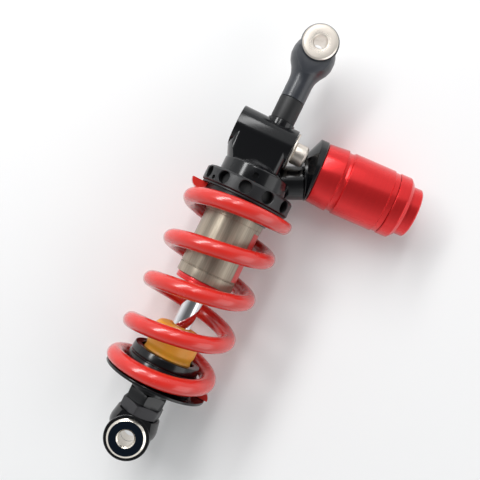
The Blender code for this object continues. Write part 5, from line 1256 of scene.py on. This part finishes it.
class SHOCK_OT_preload_ring(bpy.types.Operator):
    """Preload ring with its spanner holes and lock screw, and the upper spring seat"""

    bl_idname = "shock.preload_ring"
    bl_label = "Preload Ring"

    def execute(self, context):
        low, top = span("preload_ring", "Z")
        radius = sizes().ring
        bore = sizes().skirt + GAP
        middle = (low + top) / 2.0
        ring = object_of(turned_mesh("preload_collar", [
            (bore, low), (radius - 0.8 * MM, low, 0.1 * MM), (radius, low + 0.8 * MM, 0.15 * MM),
            (radius, top - 1.8 * MM, 0.3 * MM), (radius - 1.8 * MM, top, 0.3 * MM), (bore + 0.8 * MM, top, 0.1 * MM),
            (bore, top - 0.8 * MM)], 144))
        start = math.radians(-93.4)
        run_geometry_tree(ring, radial_holes_tree(), Holes=sizes().ring_holes, Start_Angle=start,
                          Hole_Radius=sizes().ring_hole, Ring_Radius=radius, Hole_Depth=5.5 * MM, Height=middle,
                          Material=finish_of("ring_black"))
        screw_place = radial_place(start - math.radians(45.0), middle - 2.8 * MM)
        combine(ring, turned_mesh("lock_hole", cylinder_outline(1.6 * MM, bore - PAST, radius + PAST), SMALL_SIDES,
                                  screw_place))
        finish_piece(ring, finish_of("ring_black"), "preload_ring", "charcoal_anodised", "preload_ring")
        # painted shade: the walls of the spanner holes and the lock hole get a darker black than the rest of the ring
        paint_faces(ring, finish_of("hole_painted_shade"), lambda centre, normal: (
            bore + 0.4 * MM < math.hypot(centre.x, centre.y) < radius - 1.0 * MM
            and low + 0.9 * MM < centre.z < top - 0.9 * MM))
        screw = object_of(turned_mesh("preload_grub_screw",
                                      cylinder_outline(1.3 * MM, bore + GAP, radius - 2.2 * MM, 0.1 * MM),
                                      SMALL_SIDES, screw_place))
        combine(screw, turned_mesh("key", cylinder_outline(hex_radius(1.3 * MM), radius - 4.0 * MM, radius), 6,
                                   screw_place))
        finish_piece(screw, finish_of("steel"), "preload_ring", "steel", "preload_lock_screw")

        boss_end, seat_top = span("upper_spring_seat", "Z")
        flange_end = seat_top - 1.2 * MM
        flange = half_width("upper_spring_seat")
        boss = sizes().coil - sizes().wire - 0.7 * MM
        turned_piece("spring_seat_upper", [
            (bore, boss_end, 0.2 * MM), (boss - 1.2 * MM, boss_end, 0.3 * MM), (boss, boss_end + 1.2 * MM, 0.3 * MM),
            (boss, flange_end), (flange, flange_end, 0.2 * MM), (flange, seat_top, 0.2 * MM), (bore, seat_top)],
            finish_of("ring_black"), "spring_seat", "black_anodised", "upper_spring_seat")
        return {"FINISHED"}


def opening_sum(turns, closed, blend):
    """Turns of open pitch within a number of turns from a closed tip."""
    opened = min(max((turns - closed + blend / 2.0) / blend, 0.0), 1.0)
    return blend * (opened ** 3 - opened ** 4 / 2.0) + max(turns - closed - blend / 2.0, 0.0)


class SHOCK_OT_coil_spring(bpy.types.Operator):
    """Coil spring: the first turns follow the spring seat, and the rest closes up with the stroke"""

    bl_idname = "shock.coil_spring"
    bl_label = "Coil Spring"

    def execute(self, context):
        size = sizes()
        ground_bottom, ground_top = span("coil_spring", "Z")
        grind = 0.2 * MM
        top, bottom = ground_top - grind, ground_bottom + grind
        half = size.coil_turns / 2.0
        open_pitch = size.closed_pitch + ((top - bottom) / 2.0 - size.closed_pitch * half) / opening_sum(
            half, size.closed_turns, size.closed_blend)
        tree = coil_tree()
        split = 2.29          # turn at which the two pieces meet, at the back
        sections_per_turn = 150
        pieces = (
            # name, first turn, last turn, bodies, turns over which the motion passes from one body to the other
            ("spring_upper_coils", 0.0, split, "spring_seat", "damper_body", 0.95, split),
            ("spring_lower_coils", split, size.coil_turns, "damper_body", "damper_rod", split, size.coil_turns - 0.8),
        )
        for name, first, last, body_above, body_below, still, arrived in pieces:
            coil = object_of(bpy.data.meshes.new(name))
            sections = round((last - first) * sections_per_turn)
            run_geometry_tree(coil, tree, From_Turn=first, To_Turn=last, Total_Turns=size.coil_turns,
                              Start_Angle=size.coil_start, Coil_Radius=size.coil, Wire_Radius=size.wire, Top=top,
                              Bottom=bottom, Ground_Top=ground_top, Ground_Bottom=ground_bottom,
                              Closed_Turns=size.closed_turns, Blend=size.closed_blend, Closed_Pitch=size.closed_pitch,
                              Open_Pitch=open_pitch, Tip_Rounding=6.0 * MM, Sections=sections, Wire_Sides=40,
                              Material=finish_of("spring"))
            mesh = coil.data
            turns = np.zeros(len(mesh.vertices), np.float32)
            mesh.attributes["turn"].data.foreach_get("value", turns)
            mesh.attributes.remove(mesh.attributes["turn"])
            mesh.shade_smooth()
            mesh.set_sharp_from_angle(angle=math.radians(40.0))
            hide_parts("coil_spring")
            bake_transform(coil, body_above, body_below, start=(0.0, 0.0, ground_top), end=(0.0, 0.0, ground_bottom))
            share = np.clip((turns - still) / (arrived - still), 0.0, 1.0)
            mesh.attributes["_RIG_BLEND"].data.foreach_set("value", share.astype(np.float32))
        return {"FINISHED"}


# ================================================================ damper tube and shaft

class SHOCK_OT_damper_tube(bpy.types.Operator):
    """Hard anodised tube with its collar, groove and plain band, and its red end cap"""

    bl_idname = "shock.damper_tube"
    bl_label = "Damper Tube"

    def execute(self, context):
        size = sizes()
        end, top = span("damper_tube", "Z")
        tube = size.tube
        collar = tube + COLLAR_RISE
        collar_z = top - 28.0 * MM
        groove = end + 6.9 * MM
        seal = top - 4.0 * MM
        turned_piece("damper_cylinder", [
            (size.tube_bore, top), (collar, top, 0.4 * MM), (collar, seal), (collar - 1.4 * MM, seal),
            (collar - 1.4 * MM, seal - 2.4 * MM), (collar, seal - 2.4 * MM), (collar, collar_z, 0.12 * MM),
            (tube, collar_z - 0.2 * MM), (tube, groove + 1.0 * MM, 0.1 * MM), (tube - 0.6 * MM, groove + 0.7 * MM),
            (tube - 0.6 * MM, groove + 0.2 * MM), (tube, groove - 0.1 * MM, 0.1 * MM), (tube, end, 0.35 * MM),
            (size.tube_bore, end)], finish_of("tube"), "damper_body", "hard_anodised", "damper_tube", sides=128)

        band = bmesh.new()
        first, last = math.radians(-34.0), math.radians(6.0)
        steps = 28
        high, low = collar_z - 2.6 * MM, groove + 1.4 * MM
        inner, outer = tube + 0.02 * MM, tube + 0.10 * MM
        columns = []
        for step in range(steps + 1):
            angle = first + (last - first) * step / steps
            out = Vector((math.cos(angle), math.sin(angle), 0.0))
            columns.append([band.verts.new(out * radius + Vector((0.0, 0.0, height)))
                            for radius, height in ((inner, low), (outer, low), (outer, high), (inner, high))])
        for before, after in zip(columns, columns[1:]):
            for corner in range(4):
                beside = (corner + 1) % 4
                band.faces.new((before[corner], before[beside], after[beside], after[corner]))
        band.faces.new(columns[0])
        band.faces.new(columns[-1])
        bmesh.ops.recalc_face_normals(band, faces=band.faces)
        finish_piece(object_of(keep_mesh("damper_cylinder_band", band)), finish_of("band"), "damper_body",
                     "red_powder_coat")

        cap_end, cap_top = span("tube_end_cap", "Z")
        cap = half_width("tube_end_cap")
        line = cap_top - 1.9 * MM
        hole = size.shaft + GAP
        wiper_top = cap_top - 1.0 * MM
        turned_piece("damper_end_cap", [
            (hole, cap_top), (cap, cap_top, 0.2 * MM), (cap, line, 0.12 * MM), (cap - 0.5 * MM, line - 0.15 * MM),
            (cap - 0.5 * MM, line - 0.45 * MM), (cap, line - 0.6 * MM, 0.12 * MM), (cap, cap_end, 0.5 * MM),
            (size.shaft + 3.3 * MM, cap_end, 0.15 * MM), (size.shaft + 3.3 * MM, wiper_top), (hole, wiper_top)],
            finish_of("cap_red"), "damper_body", "red_anodised", "tube_end_cap")
        turned_piece("shaft_wiper", [
            (hole, wiper_top - GAP), (size.shaft + 3.0 * MM, wiper_top - GAP),
            (size.shaft + 3.0 * MM, cap_end, 0.1 * MM),
            (size.shaft + 1.1 * MM, cap_end, 0.1 * MM), (hole, cap_end - 0.9 * MM, 0.05 * MM)],
            finish_of("rubber"), "damper_body", "rubber", "wiper_seal")
        return {"FINISHED"}


class SHOCK_OT_shaft_and_bump_stop(bpy.types.Operator):
    """Chromed shaft, and the urethane bump stop that crushes at the end of the stroke"""

    bl_idname = "shock.shaft_and_bump_stop"
    bl_label = "Shaft and Bump Stop"

    def execute(self, context):
        size = sizes()
        low, top = span("shaft", "Z")
        shoulder = span("top_out_bumper", "Z")[1] + 2.2 * MM
        turned_piece("damper_shaft", [
            (2.3 * MM, low), (size.shaft, low, 0.5 * MM), (size.shaft, shoulder, 0.6 * MM), (5.0 * MM, shoulder),
            (5.0 * MM, top, 0.4 * MM), (2.3 * MM, top)], finish_of("chrome"), "damper_rod", "chrome", "shaft")

        base, crown = span("bump_stop", "Z")
        radius = size.bump
        hole = size.shaft + GAP
        bump = object_of(turned_mesh("bump_stop_dome", [
            (hole, base), (radius - 1.0 * MM, base, 0.5 * MM), (radius, base + 2.0 * MM, 1.0 * MM),
            (radius, base + 9.0 * MM, 6.0 * MM), (radius - 1.1 * MM, base + 12.5 * MM, 3.0 * MM),
            (radius, base + 16.0 * MM, 6.0 * MM), (radius, crown - 5.0 * MM, 4.5 * MM),
            (radius - 2.6 * MM, crown - 1.2 * MM, 3.0 * MM), (hole + 2.2 * MM, crown, 1.6 * MM),
            (hole, crown - 1.4 * MM, 0.6 * MM)]))
        finish_piece(bump, finish_of("urethane"), "damper_rod", "urethane", "bump_stop", sharp=math.radians(60.0))
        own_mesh(bump)
        return {"FINISHED"}


# ================================================================ lower perch and nuts

class SHOCK_OT_lower_perch(bpy.types.Operator):
    """Lower spring perch: thin flange, tapered boss and the pocket of the bump stop"""

    bl_idname = "shock.lower_perch"
    bl_label = "Lower Perch"

    def execute(self, context):
        size = sizes()
        hub_end, boss_top = span("lower_perch", "Z")
        face = boss_top - 19.5 * MM
        floor = boss_top - 12.0 * MM
        boss = size.coil - size.wire - 0.7 * MM
        pocket = size.bump + 1.5 * MM
        hole = size.shaft + GAP
        under = face - 2.0 * MM
        step = under - 1.2 * MM
        turned_piece("spring_perch_lower", [
            (hole, floor), (pocket, floor, 0.5 * MM), (pocket, boss_top - 0.8 * MM, 0.3 * MM),
            (pocket + 0.8 * MM, boss_top, 0.3 * MM),
            (boss - 2.6 * MM, boss_top, 0.9 * MM), (boss - 1.9 * MM, face + 14.0 * MM, 0.4 * MM),
            (boss - 2.5 * MM, face + 13.5 * MM, 0.3 * MM),
            (boss - 2.5 * MM, face + 12.6 * MM, 0.3 * MM), (boss - 1.5 * MM, face + 12.0 * MM, 0.4 * MM),
            (boss, face + 4.0 * MM, 0.8 * MM), (boss, face, 0.2 * MM), (size.perch, face, 0.4 * MM),
            (size.perch, under, 0.6 * MM),
            (16.6 * MM, under, 1.2 * MM), (15.2 * MM, under - 1.6 * MM, 0.6 * MM), (15.2 * MM, hub_end, 0.5 * MM),
            (10.8 * MM, hub_end, 0.2 * MM), (10.8 * MM, step), (hole, step)],
            finish_of("black"), "damper_rod", "black_anodised", "lower_perch", sides=144)
        return {"FINISHED"}


class SHOCK_OT_lower_nuts(bpy.types.Operator):
    """Black hexagon nut and the grey hexagon rebound ring below it"""

    bl_idname = "shock.lower_nuts"
    bl_label = "Lower Nuts"

    def execute(self, context):
        for node, name, flats, turn, body, finish, slot in (
                ("perch_hex_nut", "perch_nut", 27.5 * MM, 2.6, "damper_rod", "black", "black_anodised"),
                ("rebound_ring", "rebound_adjuster_ring", 28.0 * MM, -9.7, "rebound_adjuster", "hex_grey",
                 "charcoal_anodised")):
            low, high = span(node, "Z")
            place = Matrix.Rotation(math.radians(turn - 90.0), 4, "Z")
            corner = hex_radius(flats)
            nut = object_of(turned_mesh(name, cylinder_outline(corner, low, high), 6, place))
            edge = turned_mesh("edge", [
                (0.0, low), (flats / 2.0 + 0.2 * MM, low, 0.15 * MM), (corner - 0.15 * MM, low + 0.9 * MM),
                (corner - 0.15 * MM, high - 0.9 * MM), (flats / 2.0 + 0.2 * MM, high, 0.15 * MM), (0.0, high)], SIDES)
            combine(nut, edge, "INTERSECT")
            combine(nut, turned_mesh("hole", [
                (0.0, low - 1.0 * MM), (11.4 * MM, low - 1.0 * MM), (11.4 * MM, low), (10.8 * MM, low + 0.6 * MM),
                (10.8 * MM, high - 0.6 * MM), (11.4 * MM, high), (11.4 * MM, high + 1.0 * MM), (0.0, high + 1.0 * MM)],
                SIDES, phase=0.01))
            bevel = nut.modifiers.new("corners", "BEVEL")
            bevel.width = 0.28 * MM
            bevel.segments = 2
            bevel.limit_method = "ANGLE"
            bevel.angle_limit = math.radians(40.0)
            bevel.use_clamp_overlap = True
            apply_modifiers(nut)
            finish_piece(nut, finish_of(finish), body, slot, node)
        return {"FINISHED"}


# ================================================================ hidden parts and the stage

class SHOCK_OT_inner_parts(bpy.types.Operator):
    """Finishes of the inner parts, which keep their CAD shapes"""

    bl_idname = "shock.inner_parts"
    bl_label = "Inner Parts"

    def execute(self, context):
        for finish, nodes in (
                ("rubber", ("valve_o_ring", "reservoir_o_ring", "end_cap_o_ring", "tube_o_ring", "seal_head_o_ring",
                            "rod_seal", "top_out_bumper", "floating_piston_seal")),
                ("bronze", ("rod_bushing", "piston_band")),
                ("steel", ("compression_shims", "rebound_shims", "piston_nut", "rebound_needle", "compression_needle")),
                ("aluminium", ("seal_head", "piston", "floating_piston"))):
            for name in nodes:
                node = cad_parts[name]
                node.data.materials.clear()
                node.data.materials.append(finish_of(finish))
        return {"FINISHED"}


def shade_of_room(world):
    """A pale room that is dim on the side that the object faces, and bright again above it."""
    dim = 0.14
    tree = world.node_tree
    background = tree.nodes["Background"]
    direction = tree.nodes.new("ShaderNodeSeparateXYZ")
    tree.links.new(tree.nodes.new("ShaderNodeTexCoord").outputs["Generated"], direction.inputs[0])
    around = remap(tree, direction.outputs[1], -0.95, -0.1, dim, 0.88)
    # this height leans with the camera's roll, and the bright wall starts a fifth of the way up it
    up = shader_math(tree, "SUBTRACT", shader_math(tree, "MULTIPLY", direction.outputs[2], 0.9),
                     shader_math(tree, "MULTIPLY", direction.outputs[0], 0.44))
    level = shader_math(tree, "MAXIMUM", around, remap(tree, up, 0.20, 0.34, dim, 0.74))
    tint = tree.nodes.new("ShaderNodeCombineXYZ")
    for channel, amount in enumerate((0.97, 0.985, 1.0)):
        tree.links.new(shader_math(tree, "MULTIPLY", level, amount), tint.inputs[channel])
    tree.links.new(tint.outputs[0], background.inputs["Color"])
    background.inputs["Strength"].default_value = 1.0


class SHOCK_OT_stage(bpy.types.Operator):
    """Pale surface, soft light and the camera"""

    bl_idname = "shock.stage"
    bl_label = "Stage"

    def execute(self, context):
        scene = context.scene
        scene.view_settings.view_transform = "Standard"
        scene.view_settings.look = "None"
        deepest = CAD_BOX[1][1] + sizes().backdrop_gap
        bm = bmesh.new()
        wide = 3.0
        corners = [bm.verts.new((x, deepest, z))
                   for x, z in ((-wide, -wide), (wide, -wide), (wide, wide), (-wide, wide))]
        bm.faces.new(corners)
        backdrop = object_of(keep_mesh("backdrop", bm))
        if backdrop.data.polygons[0].normal.y > 0.0:
            backdrop.data.flip_normals()
        paper = Finish("backdrop_paper", colours().backdrop, 0.85, Specular_IOR_Level=0.15)
        grain = paper.group("fine_grain", Grain_per_Metre=900.0)
        paper.bump(grain["Height"], 0.03, 0.05 * MM)
        # seen from behind, the surface is clear
        mix = paper.tree.nodes.new("ShaderNodeMixShader")
        clear = paper.tree.nodes.new("ShaderNodeBsdfTransparent")
        side = paper.tree.nodes.new("ShaderNodeNewGeometry")
        output = next(node for node in paper.tree.nodes if node.type == "OUTPUT_MATERIAL")
        paper.tree.links.new(side.outputs["Backfacing"], mix.inputs[0])
        paper.tree.links.new(paper.shader.outputs[0], mix.inputs[1])
        paper.tree.links.new(clear.outputs[0], mix.inputs[2])
        paper.tree.links.new(mix.outputs[0], output.inputs["Surface"])
        backdrop.data.materials.append(paper.material)

        world = bpy.data.worlds.new("pale_room")
        scene.world = world
        world.use_nodes = True
        shade_of_room(world)

        middle = Vector((0.02, 0.0, -0.15))          # of the object, where every lamp points
        for name, place, size, power in (
                ("window", (-0.80, -0.85, 0.42), (0.22, 1.5), 12.5),
                ("second_window", (-0.25, -1.05, 0.75), (0.16, 1.2), 4.6),
                ("far_wall", (0.95, -0.55, -0.25), (0.7, 1.2), 3.2)):
            lamp = bpy.data.lights.new(name, "AREA")
            lamp.shape = "RECTANGLE"
            lamp.size, lamp.size_y = size
            lamp.energy = power
            light = bpy.data.objects.new(name, lamp)
            scene.collection.objects.link(light)
            light.location = place
            light.rotation_euler = (middle - Vector(place)).to_track_quat("-Z", "Y").to_euler()

        camera_data = bpy.data.cameras.new("camera")
        camera_data.sensor_width = 36.0
        camera_data.lens = 49.14
        camera_data.clip_start = 0.01
        camera = bpy.data.objects.new("camera", camera_data)
        scene.collection.objects.link(camera)
        # it looks straight at the front, rolled by 26 degrees
        right, up, back = Vector((0.8978, 0.0, 0.4405)), Vector((-0.4405, 0.0, 0.8978)), Vector((0.0, -1.0, 0.0))
        turn = Matrix((right, up, back)).transposed().to_4x4()
        camera.matrix_world = Matrix.Translation((10.7 * MM, -480.0 * MM, -152.3 * MM)) @ turn
        scene.camera = camera
        return {"FINISHED"}


OPERATORS = (
    SHOCK_OT_upper_eye, SHOCK_OT_lower_eye, SHOCK_OT_bearings, SHOCK_OT_head, SHOCK_OT_compression_adjuster,
    SHOCK_OT_reservoir_elbow, SHOCK_OT_reservoir, SHOCK_OT_preload_ring, SHOCK_OT_coil_spring, SHOCK_OT_damper_tube,
    SHOCK_OT_shaft_and_bump_stop, SHOCK_OT_lower_perch, SHOCK_OT_lower_nuts, SHOCK_OT_inner_parts, SHOCK_OT_stage,
)


class SHOCK_PT_panel(bpy.types.Panel):
    """Lists the sizes, the colours and the steps that build the shock absorber"""

    bl_idname = "SHOCK_PT_panel"
    bl_label = "Rear Shock Absorber"
    bl_space_type = "VIEW_3D"
    bl_region_type = "UI"
    bl_category = "Shock"

    def draw(self, context):
        for values in (context.scene.shock_sizes, context.scene.shock_colours):
            column = self.layout.column()
            for name in values.__annotations__:
                column.prop(values, name)
        for operator in OPERATORS:
            self.layout.operator(operator.bl_idname)


CLASSES = (ShockSizes, ShockColours, *OPERATORS, SHOCK_PT_panel)


def register():
    for item in CLASSES:
        bpy.utils.register_class(item)
    bpy.types.Scene.shock_sizes = PointerProperty(type=ShockSizes)
    bpy.types.Scene.shock_colours = PointerProperty(type=ShockColours)


def unregister():
    del bpy.types.Scene.shock_colours
    del bpy.types.Scene.shock_sizes
    for item in reversed(CLASSES):
        bpy.utils.unregister_class(item)


def main():
    register()
    for operator in OPERATORS:
        group, name = operator.bl_idname.split(".")
        getattr(getattr(bpy.ops, group), name)()


if __name__ == "__main__":
    main()
